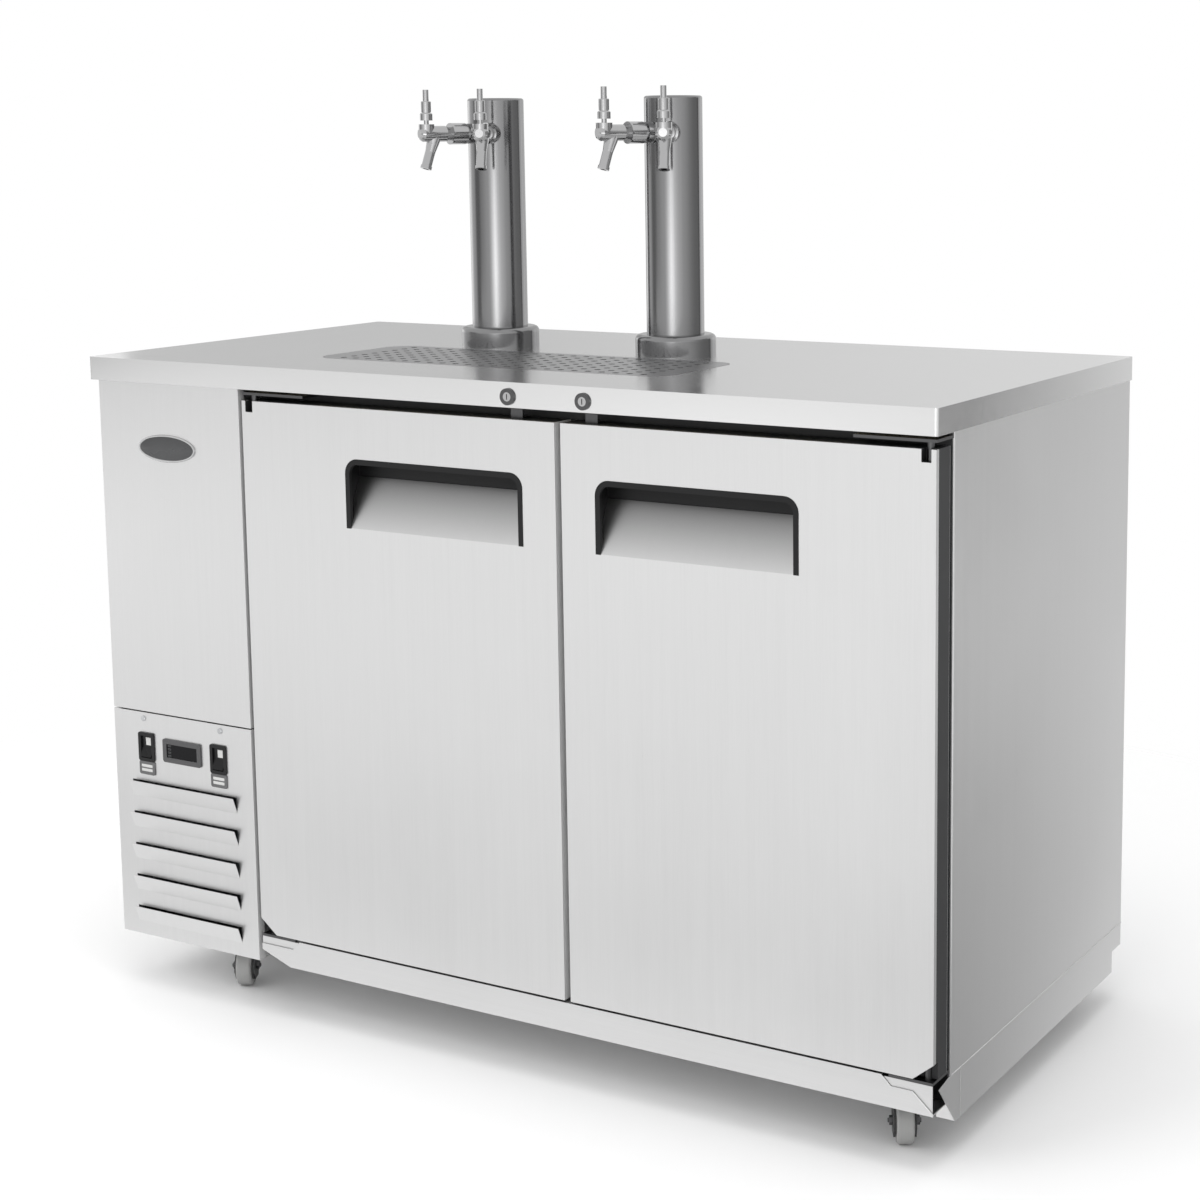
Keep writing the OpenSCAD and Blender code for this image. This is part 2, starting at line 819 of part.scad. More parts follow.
module liner() {
    color(alloy)
        difference() {
            block([keg_x[0] - liner_sheet, keg_x[1] + liner_sheet], [keg_y[0], keg_y[1] + liner_sheet],
                [keg_z[0] - liner_sheet, keg_z[1] + liner_sheet]);
            block(keg_x, [keg_y[0] - over, keg_y[1]], keg_z);
            translate([tray_x, tray_y, 0])
                rod_z(drain_r + fit, [keg_z[1] - over, keg_z[1] + liner_sheet + over]);
            at_towers()
                rod_z(passage_r, [keg_z[1] - over, keg_z[1] + liner_sheet + over]);
        }
}

module front_frame() {
    post = [mullion_x - mullion_width / 2, mullion_x + mullion_width / 2];
    color(dark) {
        difference() {
            block([cold_left, cold_right], [frame_front, frame_back], [base, under_top]);
            block(keg_x, [frame_front - over, frame_back + over], keg_z);
        }
        block(post, [frame_front, frame_front + mullion_depth], keg_z);
    }
}

// Side rail: outer web over y, and over skirt_y the skirt below it, a channel closed at the front
module rail(outer, inner, y, skirt_y) {
    web = outer < inner ? [outer, outer + skin_sheet] : [outer - skin_sheet, outer];
    flange = outer < inner ? [outer, inner] : [inner, outer];
    lip = outer < inner ? [inner - skin_sheet, inner] : [inner, inner + skin_sheet];
    block(web, y, [base, rail_top]);
    block(web, skirt_y, [rail_bottom, rail_top]);
    block(flange, skirt_y, [rail_bottom, rail_bottom + skin_sheet]);
    block(flange, [skirt_y[0], skirt_y[0] + skin_sheet], [rail_bottom, base]);
    block(lip, skirt_y, [rail_bottom, base]);
}

module base_frame() {
    rail_end = back - rail_rear_inset;
    heel = frame_front + gusset / 2;
    color(steel) {
        rail(body_left, body_left + rail_width, [front + panel_fold, back],
            [front + skirt_setback, rail_end]);
        rail(body_right, body_right - rail_width, [heel, back], [heel, rail_end]);
        across([
            [heel, rail_bottom], [heel, rail_top], [frame_front, rail_top],
            [frame_front - gusset, rail_top - gusset / 6]
        ], [cold_right, body_right]);
        block([machine_x[0], cold_right], [frame_back, cold_back], [base, base + base_sheet]);
        block([machine_x[0], cold_left], [front + panel_fold, frame_back], [base, base + base_sheet]);
    }
}

module base_strip() {
    x = [left_door[0], body_right];
    top = base + strip_height;
    low = top - strip_notch_height;
    color(steel) {
        translate([0, front + skin_sheet, 0])
            rotate([90, 0, 0])
                linear_extrude(skin_sheet)
                    polygon([
                        [x[0] + strip_cut, base], [x[1], base], [x[1], base + 2 * skin_sheet],
                        [x[1] - strip_end_cut, low],
                        [x[1] - strip_notch + strip_notch_height, low], [x[1] - strip_notch, top],
                        [x[0] + strip_notch, top], [x[0] + strip_notch - strip_notch_height, low],
                        [x[0], low], [x[0], base + strip_cut_height]
                    ]);
        block([x[0] + strip_cut, cold_right - seam], [front, frame_front], [base, base + skin_sheet]);
        block([x[0] + strip_notch, x[1] - strip_notch], [front, frame_front], [top - skin_sheet, top]);
    }
}

module service_panel() {
    color(steel)
        front_pan([body_left, panel_right], [base + louvre_panel_height + panel_joint, under_top],
            panel_sheet, panel_fold);
}

// One louvre blade, joined to the panel along its lower edge
module louvre(top) {
    low = top - louvre_height;
    x = [panel_mid - louvre_width / 2, panel_mid + louvre_width / 2];
    across([
        [front + panel_sheet, low], [front, low],
        [front - louvre_depth, top], [front - louvre_depth + panel_sheet, top]
    ], x);
}

// Block behind the controller's bezel, smaller by the inset
module controller_block(inset, y) {
    half_x = controller_width / 2 - inset;
    half_z = controller_height / 2 - inset;
    block([panel_mid - half_x, panel_mid + half_x], y, [control_z - half_z, control_z + half_z]);
}

module louvre_panel() {
    z = [base, base + louvre_panel_height];
    slot = [panel_mid - louvre_width / 2, panel_mid + louvre_width / 2];
    color(steel)
        difference() {
            union() {
                difference() {
                    front_pan([body_left, panel_right], z, panel_sheet, panel_fold);
                    for (i = [0 : louvre_count - 1])
                        block(slot, [front - over, front + panel_sheet + over],
                            [louvre_top - i * louvre_pitch - louvre_height, louvre_top - i * louvre_pitch]);
                }
                for (i = [0 : louvre_count - 1])
                    louvre(louvre_top - i * louvre_pitch);
            }
            for (x = switch_x)
                block([x - switch_body / 2, x + switch_body / 2], [front - over, front + panel_sheet + over],
                    [control_z - switch_body_height / 2, control_z + switch_body_height / 2]);
            controller_block(bezel_rim, [front - over, front + panel_sheet + over]);
            for (x = [-1, 1])
                translate([panel_mid + x * screw_offset, 0, z[1] - screw_drop])
                    rod_y(screw_shank_r + fit, [front - over, front + panel_sheet + over]);
        }
}

// Screw with a shallow crowned head, pointing to the back
module pan_screw(r, head) {
    rotate([-90, 0, 0])
        rotate_extrude()
            polygon([
                [0, -head], [r - screw_crown, -head], [r, -head + screw_crown], [r, 0],
                [screw_shank_r, 0], [screw_shank_r, screw_length], [0, screw_length]
            ]);
}

module panel_screws() {
    z = base + louvre_panel_height - screw_drop;
    color(bright)
        for (x = [-1, 1])
            translate([panel_mid + x * screw_offset, front, z])
                pan_screw(screw_r, bezel_stand);
}

module controller_bezel() {
    color(dark)
        difference() {
            union() {
                translate([panel_mid, front, control_z])
                    rotate([90, 0, 0])
                        linear_extrude(bezel_stand)
                            round_rect(controller_width, controller_height, bezel_rim);
                controller_block(bezel_rim, [front, front + controller_depth]);
            }
            controller_block(2 * bezel_rim, [front - bezel_stand - over, front]);
        }
}

module controller_window() {
    color(black)
        controller_block(2 * bezel_rim, [front - bezel_stand / 2, front]);
}

module switch_frames() {
    room = rocker_half + rocker_taper / 2;
    pin_room = rocker_width / 2 + rocker_pin + end_gap;
    color(black)
        for (x = switch_x)
            difference() {
                union() {
                    translate([x, front, control_z])
                        rotate([90, 0, 0])
                            linear_extrude(bezel_stand)
                                round_rect(switch_width, switch_height, bezel_rim);
                    block([x - switch_body / 2, x + switch_body / 2], [front, front + switch_depth],
                        [control_z - switch_body_height / 2, control_z + switch_body_height / 2]);
                }
                block([x - rocker_room / 2, x + rocker_room / 2],
                    [front - bezel_stand - over, front + switch_depth - 2 * rocker_pin],
                    [control_z - room, control_z + room]);
                translate([0, rocker_y, control_z])
                    rod_x(rocker_pin_r + fit, [x - pin_room, x + pin_room]);
            }
}

// Rocker with a shallow V face and its pivot pins, tilted to one side
module rocker(x) {
    color(black)
        translate([x, rocker_y, control_z])
            rotate([-rocker_tilt, 0, 0]) {
                across([
                    [-rocker_depth, rocker_half], [-rocker_depth / 2, 0], [-rocker_depth, -rocker_half],
                    [rocker_depth, -rocker_half + rocker_taper], [rocker_depth, rocker_half - rocker_taper]
                ], [-rocker_width / 2, rocker_width / 2]);
                rod_x(rocker_pin_r, [-rocker_width / 2 - rocker_pin, rocker_width / 2 + rocker_pin]);
            }
}

module left_rocker() {
    rocker(switch_x[0]);
}

module right_rocker() {
    rocker(switch_x[1]);
}

// Top and bottom bracket of one door; side is 1 when the bracket runs to the right of the pin
module hinge_pair(edge, pin_x, side) {
    top_x = side > 0 ? [edge, edge + top_bracket_length] : [edge - top_bracket_length, edge];
    low_x = side > 0 ? [edge, edge + bottom_bracket_length]
        : [edge - bottom_bracket_length, cold_right - seam];
    y = [front + hinge_plate / 2, frame_front];
    top_z = door_top + door_head_gap / 2;
    low_z = door_bottom - door_foot_gap / 2;
    leg = [frame_front - hinge_plate, frame_front];
    block(top_x, y, [top_z, top_z + hinge_plate]);
    block(top_x, leg, [top_z, under_top]);
    translate([pin_x, hinge_y, 0])
        rod_z(hinge_pin_r, [door_top - hinge_pin_depth, top_z + hinge_plate]);
    block(low_x, y, [low_z - hinge_plate, low_z]);
    block(low_x, leg, [base + skin_sheet, low_z]);
    translate([pin_x, hinge_y, 0])
        rod_z(hinge_pin_r, [low_z - hinge_plate, door_bottom + hinge_pin_depth]);
}

module hinge_brackets() {
    color(light_grey) {
        hinge_pair(left_door[0], left_hinge_x, 1);
        hinge_pair(right_door[1], right_hinge_x, -1);
    }
}

module lock_barrels() {
    color(bright)
        for (x = lock_x)
            translate([x, 0, lock_z])
                difference() {
                    union() {
                        rod_y(lock_flange_r, [lock_front - lock_flange, lock_front]);
                        rod_y(lock_r, [lock_front, lock_back]);
                    }
                    rod_y(plug_r + fit, [lock_front - lock_flange - over, lock_back + over]);
                }
}

// Turning plug with its key slot and the tongue; the tongue lies flat behind the worktop edge
module lock_plug(x, side) {
    reach = side > 0 ? [0, tongue_length] : [-tongue_length, 0];
    color(bright)
        translate([x, 0, lock_z]) {
            difference() {
                rod_y(plug_r, [lock_front - lock_flange, tongue_y[0]]);
                block([-key_width / 2, key_width / 2],
                    [lock_front - lock_flange - over, lock_front - lock_flange + key_depth],
                    [-key_height / 2, key_height / 2]);
            }
            block(reach, tongue_y, [-tongue_width / 2, tongue_width / 2]);
            rod_y(tongue_width / 2, tongue_y);
        }
}

module left_lock_plug() {
    lock_plug(lock_x[0], -1);
}

module right_lock_plug() {
    lock_plug(lock_x[1], 1);
}

// Left limit and right limit of a door's handle; side is 1 on a door hinged at its left
function handle_x(door, side) = side > 0
    ? [door[1] - handle_edge - handle_width, door[1] - handle_edge]
    : [door[0] + handle_edge, door[0] + handle_edge + handle_width];

// Opening of the handle in the door skin, round at the top
module handle_opening(x) {
    translate([0, front + door_sheet + over, 0])
        rotate([90, 0, 0])
            linear_extrude(door_sheet + 2 * over) {
                translate([x[0], handle_bottom])
                    square([handle_width, handle_height - handle_corner]);
                translate([x[0] + handle_corner, handle_bottom])
                    square([handle_width - 2 * handle_corner, handle_height]);
                for (c = [x[0] + handle_corner, x[1] - handle_corner])
                    translate([c, handle_top - handle_corner])
                        circle(r = handle_corner);
            }
}

// Room inside the handle cup: a sloped floor, an upright back and finger room at the top
module handle_room(x, grow, mouth) {
    y = front + door_sheet;
    across([
        [y - mouth, handle_bottom - grow], [y, handle_bottom - grow],
        [y + cup_depth + grow, handle_top + finger_rise - cup_back],
        [y + cup_depth + grow, handle_top + finger_rise + grow],
        [y, handle_top + finger_rise + grow], [y - mouth, handle_top + finger_rise + grow]
    ], [x[0] - grow, x[1] + grow]);
}

// Steel slope on the cup's floor, folded from the skin
module handle_slope(x) {
    y = front + door_sheet;
    rise = handle_top + finger_rise - cup_back - handle_bottom;
    across([
        [y - door_sheet, handle_bottom], [y, handle_bottom], [y + cup_depth, handle_bottom + rise],
        [y + cup_depth - door_sheet, handle_bottom + rise]
    ], x);
}

// Notch over the top hinge pin and cut corner at the bottom one, as deep as the pins' axis
module hinge_notches(door, side) {
    edge = side > 0 ? door[0] : door[1];
    pin_x = edge + side * hinge_inset;
    block([pin_x - pin_notch / 2, pin_x + pin_notch / 2], [front - over, hinge_y],
        [door_top - pin_notch_height, door_top + over]);
    translate([edge, hinge_y, door_bottom])
        rotate([90, 0, 0])
            linear_extrude(hinge_inset + over)
                polygon([
                    [-side * over, -over], [-side * over, corner_cut_height],
                    [0, corner_cut_height], [side * corner_cut, 0], [side * corner_cut, -over]
                ]);
}

module door_skin(door, side) {
    x = handle_x(door, side);
    color(steel) {
        difference() {
            front_pan(door, [door_bottom, door_top], door_sheet, door_fold);
            handle_opening(x);
            hinge_notches(door, side);
        }
        handle_slope(x);
    }
}

module left_door_skin() {
    door_skin(left_door, 1);
}

module right_door_skin() {
    door_skin(right_door, -1);
}

// Angle on the door's top edge that the lock's tongue turns down in front of
module keeper(lock) {
    x = [lock - keeper_width / 2, lock + keeper_width / 2];
    color(bright) {
        block(x, [keeper_y, keeper_y + keeper_sheet], [door_top, door_top + keeper_height]);
        block(x, [keeper_y, keeper_y + keeper_foot], [door_top, door_top + keeper_sheet]);
    }
}

module left_keeper() {
    keeper(lock_x[0]);
}

module right_keeper() {
    keeper(lock_x[1]);
}

// Insulated core with moulded dark edges, bored for the hinge pins and recessed for the cup
module door_core(door, side, pin_x) {
    x = handle_x(door, side);
    color(dark)
        difference() {
            union() {
                block([door[0] + door_sheet, door[1] - door_sheet], [front + door_sheet, front + door_fold],
                    [door_bottom + door_sheet, door_top - door_sheet]);
                block(door, [front + door_fold, door_back], [door_bottom, door_top]);
            }
            handle_room(x, cup_wall, over);
            hinge_notches(door, side);
            for (z = [[door_bottom - over, door_bottom + hinge_pin_depth + end_gap],
                [door_top - hinge_pin_depth - end_gap, door_top + over]])
                translate([pin_x, hinge_y, 0])
                    rod_z(hinge_pin_r + fit, z);
        }
}

module left_door_core() {
    door_core(left_door, 1, left_hinge_x);
}

module right_door_core() {
    door_core(right_door, -1, right_hinge_x);
}

// Gasket ring with its magnet bead, on the door's back
module door_gasket(door, side) {
    x = side > 0
        ? [door[0] + gasket_hinge_inset, door[1] - gasket_edge_inset]
        : [door[0] + gasket_edge_inset, door[1] - gasket_hinge_inset];
    z = [door_bottom + gasket_edge_inset, door_top - gasket_edge_inset];
    lip = gasket_width / 4;
    color(dark)
        difference() {
            union() {
                block(x, [door_back, door_back + gasket_depth / 2], z);
                block([x[0] + lip, x[1] - lip], [door_back, door_back + gasket_depth],
                    [z[0] + lip, z[1] - lip]);
            }
            block([x[0] + gasket_width, x[1] - gasket_width],
                [door_back - over, door_back + gasket_depth + over],
                [z[0] + gasket_width, z[1] - gasket_width]);
        }
}

module left_door_gasket() {
    door_gasket(left_door, 1);
}

module right_door_gasket() {
    door_gasket(right_door, -1);
}

module handle_cup(door, side) {
    x = handle_x(door, side);
    color(black)
        difference() {
            handle_room(x, cup_wall, 0);
            handle_room(x, 0, over);
        }
}

module left_handle_cup() {
    handle_cup(left_door, 1);
}

module right_handle_cup() {
    handle_cup(right_door, -1);
}

module tower_columns() {
    top = worktop_height + tower_height - cap_height;
    color(bright)
        difference() {
            at_towers()
                difference() {
                    rod_z(column_r, [worktop_height, top]);
                    rod_z(column_r - column_wall, [worktop_height - over, top + over]);
                }
            at_taps()
                rod_x(shank_r + fit, [shank_inner, collar_face]);
        }
}

module tower_caps() {
    top = worktop_height + tower_height;
    low = top - cap_height;
    inner = column_r - column_wall - fit;
    edge = cap_height / 2;
    color(bright)
        at_towers()
            rotate_extrude() {
                polygon([
                    [0, low - cap_plug], [inner, low - cap_plug], [inner, low], [column_r, low],
                    [column_r, top - edge], [column_r - edge, top - edge], [column_r - edge, top], [0, top]
                ]);
                translate([column_r - edge, top - edge])
                    circle(r = edge);
            }
}

module tower_flanges() {
    low = worktop_height;
    top = worktop_height + flange_height;
    color(bright)
        at_towers()
            rotate_extrude()
                difference() {
                    union() {
                        translate([0, low])
                            square([flange_r, flange_height - flange_edge]);
                        translate([0, low])
                            square([flange_r - flange_edge, flange_height]);
                        translate([flange_r - flange_edge, top - flange_edge])
                            circle(r = flange_edge);
                    }
                    translate([0, low - over])
                        square([column_r + fit, flange_height + 2 * over]);
                }
}

module shanks() {
    color(bright)
        at_taps()
            difference() {
                union() {
                    rod_x(shank_r, [shank_inner, tail_x]);
                    difference() {
                        rod_x(collar_r, [column_r - collar_r / 2, collar_face]);
                        rod_z(column_r + fit, [-collar_r - over, collar_r + over]);
                    }
                }
                rod_x(flow_r, [shank_inner - over, tail_x + over]);
            }
}

module coupling_nuts() {
    color(bright)
        at_taps()
            difference() {
                rod_x(nut_r, [nut_inner, nut_outer]);
                rod_x(shank_r + fit, [nut_inner - over, tail_x]);
                rod_x(tail_r + fit, [tail_x, nut_outer - nut_ring]);
                rod_x(barrel_r + fit, [tail_x, nut_outer + over]);
                for (i = [0 : nut_notches - 1])
                    rotate([i * 360 / nut_notches, 0, 0])
                        translate([0, 0, nut_r])
                            rod_x(notch_r, [nut_inner - over, nut_outer - nut_ring]);
            }
}

// Barrel of a tap turned about its axis, from the tail flange to the rounded nose
module tap_barrel() {
    waist = nut_outer + tail_depth;
    nose = tap_reach + bonnet_r;
    rotate([0, 90, 0])
        rotate_extrude()
            polygon([
                [0, tail_x], [tail_r, tail_x], [tail_r, tail_x + tail_depth], [barrel_r, tail_x + tail_depth],
                [barrel_r, waist], [bonnet_r, waist + 2 * tail_depth], [bonnet_r, nose - 2 * tail_depth],
                [bonnet_r - tail_depth, nose - tail_depth / 2], [bonnet_r - 2 * tail_depth, nose], [0, nose]
            ]);
}

// Spout leaning outwards, with its taper, straight run and lip
module spout(extra) {
    translate([tap_reach - spout_back, 0, 0])
        rotate([0, 180 - spout_tilt, 0]) {
            if (extra == 0) {
                cylinder(r1 = spout_top_r, r2 = spout_r, h = spout_taper);
                cylinder(r = spout_r, h = spout_length);
                translate([0, 0, spout_length - spout_lip])
                    cylinder(r = spout_r + lip_step, h = spout_lip);
            } else {
                cylinder(r = extra, h = spout_length + over);
            }
        }
}

module tap_bodies() {
    color(bright)
        at_taps()
            difference() {
                union() {
                    tap_barrel();
                    translate([tap_reach, 0, 0])
                        rod_z(bonnet_r, [0, bonnet_top]);
                    spout(0);
                }
                translate([tap_reach, 0, ball_rise]) {
                    sphere(r = ball_r + pass_gap);
                    rod_z(bonnet_mouth, [ball_r / 2, bonnet_top]);
                }
                rod_x(flow_r, [tail_x - over, tap_reach - spout_back]);
                spout(flow_r + lip_step);
            }
}

// Lever with its ball, neck, ferrule, collar and bare handle stud
module tap_lever(tower, side) {
    ferrule_top = ferrule_rise + ferrule_height;
    collar_top = ferrule_top + lever_collar;
    waist = lever_collar_r - lever_bevel;
    color(bright)
        at_tap(tower, side)
            translate([tap_reach, 0, 0]) {
                translate([0, 0, ball_rise])
                    sphere(r = ball_r);
                rotate_extrude()
                    polygon([
                        [0, ball_rise], [neck_r, ball_rise],
                        [neck_r, ferrule_rise], [ferrule_r, ferrule_rise],
                        [ferrule_r, ferrule_top - 2 * lever_bevel],
                        [ferrule_r - 2 * lever_bevel, ferrule_top],
                        [waist, ferrule_top], [waist, ferrule_top + lever_bevel],
                        [lever_collar_r, ferrule_top + lever_bevel],
                        [lever_collar_r, collar_top - lever_bevel],
                        [waist, collar_top], [stud_r, collar_top],
                        [stud_r, collar_top + stud_length], [0, collar_top + stud_length]
                    ]);
            }
}

module tap_lever_1() {
    tap_lever(0, -1);
}

module tap_lever_2() {
    tap_lever(0, 1);
}

module tap_lever_3() {
    tap_lever(1, -1);
}

module tap_lever_4() {
    tap_lever(1, 1);
}

// Fan about the Z axis: hub and pitched blades, centred on its middle
module fan(r) {
    difference() {
        union() {
            rod_z(hub_r, [-hub_depth / 2, hub_depth / 2]);
            intersection() {
                for (i = [0 : blade_count - 1])
                    rotate([0, 0, i * 360 / blade_count])
                        translate([hub_r / 2, 0, 0])
                            rotate([blade_pitch, 0, 0])
                                translate([0, -blade_width / 2, -blade_sheet / 2])
                                    cube([r, blade_width, blade_sheet]);
                rod_z(r, [-hub_depth, hub_depth]);
            }
        }
        rod_z(shaft_r + fit, [-hub_depth, hub_depth]);
    }
}

// Motor about the Z axis: body behind the fan, with a shaft through the fan's hub
module motor(r, length) {
    rod_z(r, [0, length]);
    rod_z(shaft_r, [-hub_depth - end_gap, length]);
}

// Cover with the fan mouth, two ends and a slotted drip pan
module evaporator_housing() {
    y = [evaporator_mid_y - evaporator_length / 2, evaporator_mid_y + evaporator_length / 2];
    s = evaporator_sheet;
    x = [evaporator_x[0], evaporator_x[1] - s - seam];
    slot = evaporator_length / (2 * pan_slots);
    color(alloy) {
        difference() {
            block([evaporator_x[1] - s, evaporator_x[1]], y, evaporator_z);
            translate([0, evaporator_mid_y, cold_fan_z])
                rod_x(cold_fan_r + fan_gap, [evaporator_x[1] - s - over, evaporator_x[1] + over]);
        }
        block(x, [y[0], y[0] + s], evaporator_z);
        block(x, [y[1] - s, y[1]], evaporator_z);
        difference() {
            block(x, [y[0] + s + seam, y[1] - s - seam], [evaporator_z[0], evaporator_z[0] + s]);
            for (i = [0 : pan_slots - 1])
                block([x[0] + slot / 2, x[0] + coil_depth],
                    [y[0] + (2 * i + 0.5) * slot, y[0] + (2 * i + 1.5) * slot],
                    [evaporator_z[0] - over, evaporator_z[0] + s + over]);
        }
    }
}

module evaporator_coil() {
    s = evaporator_sheet;
    y = [evaporator_mid_y - evaporator_length / 2 + s, evaporator_mid_y + evaporator_length / 2 - s];
    z = [evaporator_z[0] + s, evaporator_z[1] - s];
    color(alloy) {
        for (i = [0 : fin_count - 1]) {
            at = y[0] + (y[1] - y[0] - fin_sheet) * i / (fin_count - 1);
            block([evaporator_x[0], evaporator_x[0] + coil_depth], [at, at + fin_sheet], z);
        }
        for (j = [0 : coil_rows - 1])
            translate([evaporator_x[0] + coil_depth / 2, 0, z[0] + (z[1] - z[0]) * (j + 0.5) / coil_rows])
                rod_y(tube_r, y);
    }
}

module evaporator_fan() {
    color(dark)
        translate([cold_fan_x, evaporator_mid_y, cold_fan_z])
            rotate([0, -90, 0])
                fan(cold_fan_r);
}

module compressor() {
    low = base + base_sheet + foot_height;
    dome = shell_r / 2;
    color(black) {
        translate([machine_mid, compressor_y, low])
            rotate_extrude()
                polygon(concat(
                    [[0, 0], [shell_r - foot_r, 0], [shell_r, foot_r]],
                    [for (i = [0 : dome_steps - 1])
                        let (a = 90 * i / dome_steps)
                            [shell_r * cos(a), shell_height - dome * (1 - sin(a))]],
                    [[0, shell_height]]
                ));
        for (x = [-1, 1], y = [-1, 1])
            translate([machine_mid + x * foot_spread, compressor_y + y * foot_spread, 0])
                rod_z(foot_r, [base + base_sheet, low + foot_r]);
    }
}

module condenser() {
    x = [machine_mid - condenser_width / 2, machine_mid + condenser_width / 2];
    y = [condenser_front, condenser_back];
    color(alloy) {
        for (i = [0 : fin_count - 1]) {
            at = x[0] + (condenser_width - fin_sheet) * i / (fin_count - 1);
            block([at, at + fin_sheet], y, condenser_z);
        }
        for (j = [0 : tube_rows - 1])
            translate([0, (y[0] + y[1]) / 2, condenser_z[0] + condenser_height * (j + 0.5) / tube_rows])
                rod_x(tube_r, x);
    }
}

// Shroud plate with its duct, standing on the base behind the condenser
module fan_shroud() {
    x = [machine_mid - condenser_width / 2, machine_mid + condenser_width / 2];
    y = [condenser_back, condenser_back + shroud_sheet];
    color(dark)
        difference() {
            union() {
                block(x, y, [base + base_sheet, condenser_z[1]]);
                block(x, [condenser_front, y[1]], [base + base_sheet, condenser_z[0]]);
                translate([machine_mid, 0, fan_z])
                    rod_y(fan_r + fan_gap + shroud_sheet, [y[0], y[1] + shroud_duct]);
            }
            translate([machine_mid, 0, fan_z])
                rod_y(fan_r + fan_gap, [y[0] - over, y[1] + shroud_duct + over]);
            block([x[0] + shroud_sheet, x[1] - shroud_sheet], [condenser_front - over, condenser_back],
                [base + base_sheet + shroud_sheet, condenser_z[0] - shroud_sheet]);
        }
}

module condenser_fan() {
    color(dark)
        translate([machine_mid, fan_y, fan_z])
            rotate([-90, 0, 0])
                fan(fan_r);
}

module fan_motors() {
    color(black) {
        translate([machine_mid, motor_y, fan_z])
            rotate([-90, 0, 0])
                motor(motor_r, motor_length);
        block([machine_mid - motor_r, machine_mid + motor_r],
            [motor_y + motor_stand, motor_y + 2 * motor_stand],
            [base + base_sheet, fan_z]);
        translate([cold_fan_x - hub_depth / 2 - end_gap, evaporator_mid_y, cold_fan_z])
            rotate([0, -90, 0])
                motor(motor_r, cold_motor_length);
    }
}

// Each caster in turn
module at_casters() {
    for (x = caster_x, y = caster_y)
        translate([x, y, 0])
            children();
}

module caster_plates() {
    color(light_grey)
        at_casters() {
            round_plate(0, 0, caster_plate_side, caster_plate_side, bezel_rim, [plate_under, base]);
            rod_z(kingpin_r, [yoke_z[0] - end_gap, plate_under]);
            rod_z(kingpin_head_r, [yoke_z[0] - end_gap - kingpin_head, yoke_z[0] - end_gap]);
        }
}

// Side plate of a fork: from the swivel race down to the axle
module fork_leg(x) {
    across([
        [race_r, yoke_z[1]], [race_r, yoke_z[0]], [wheel_trail + leg_half, wheel_r - axle_r],
        [wheel_trail + leg_half / 2, wheel_r - leg_half], [wheel_trail - leg_half / 2, wheel_r - leg_half],
        [wheel_trail - leg_half, wheel_r - axle_r], [wheel_trail - leg_half, wheel_r + axle_r],
        [-race_r, yoke_z[1]]
    ], x);
}

module fork(x, y) {
    inner = wheel_width / 2 + fork_gap;
    outer = inner + fork_sheet;
    color(dark)
        translate([x, y, 0])
            rotate([0, 0, caster_turn]) {
                difference() {
                    union() {
                        rod_z(race_r, [yoke_z[0], plate_under - end_gap]);
                        block([-outer, outer], [-race_r, race_r], yoke_z);
                    }
                    rod_z(kingpin_r + fit, [yoke_z[0] - over, plate_under + over]);
                }
                fork_leg([-outer, -inner]);
                fork_leg([inner, outer]);
                translate([0, wheel_trail, wheel_r])
                    rod_x(axle_r, [-outer - fork_gap, outer + fork_gap]);
            }
}

module wheel(x, y) {
    half = wheel_width / 2;
    web = wheel_width / 4;
    color(light_grey)
        translate([x, y, wheel_r])
            rotate([0, 0, caster_turn])
                translate([0, wheel_trail, 0])
                    rotate([0, 90, 0])
                        rotate_extrude() {
                            translate([axle_r + fit, -web])
                                square([rim_r - axle_r, 2 * web]);
                            translate([axle_r + fit, -half])
                                square([wheel_hub_r - axle_r - fit, wheel_width]);
                            translate([rim_r, -half])
                                square([wheel_r - tread_edge - rim_r, wheel_width]);
                            translate([rim_r, -half + tread_edge])
                                square([wheel_r - rim_r, wheel_width - 2 * tread_edge]);
                            for (s = [-1, 1])
                                translate([wheel_r - tread_edge, s * (half - tread_edge)])
                                    circle(r = tread_edge);
                        }
}

module fork_front_left() {
    fork(caster_x[0], caster_y[0]);
}

module fork_front_right() {
    fork(caster_x[1], caster_y[0]);
}

module fork_rear_left() {
    fork(caster_x[0], caster_y[1]);
}

module fork_rear_right() {
    fork(caster_x[1], caster_y[1]);
}

module wheel_front_left() {
    wheel(caster_x[0], caster_y[0]);
}

module wheel_front_right() {
    wheel(caster_x[1], caster_y[0]);
}

module wheel_rear_left() {
    wheel(caster_x[0], caster_y[1]);
}

module wheel_rear_right() {
    wheel(caster_x[1], caster_y[1]);
}

worktop();
drip_well();
drip_plate();
side_panels();
back_panel();
insulation();
worktop_filler();
liner();
front_frame();
base_frame();
base_strip();
service_panel();
louvre_panel();
panel_screws();
controller_bezel();
controller_window();
switch_frames();
left_rocker();
right_rocker();
hinge_brackets();
lock_barrels();
left_lock_plug();
right_lock_plug();
left_keeper();
right_keeper();
left_door_skin();
left_door_core();
left_door_gasket();
left_handle_cup();
right_door_skin();
right_door_core();
right_door_gasket();
right_handle_cup();
tower_columns();
tower_caps();
tower_flanges();
shanks();
coupling_nuts();
tap_bodies();
tap_lever_1();
tap_lever_2();
tap_lever_3();
tap_lever_4();
evaporator_housing();
evaporator_coil();
evaporator_fan();
compressor();
condenser();
fan_shroud();
condenser_fan();
fan_motors();
caster_plates();
fork_front_left();
fork_front_right();
fork_rear_left();
fork_rear_right();
wheel_front_left();
wheel_front_right();
wheel_rear_left();
wheel_rear_right();
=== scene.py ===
"""Looks of a direct draw keg cooler: the finish of every piece, small fittings, stage, light and camera."""
import json
import math

import bmesh
import bpy
from mathutils import Matrix, Vector


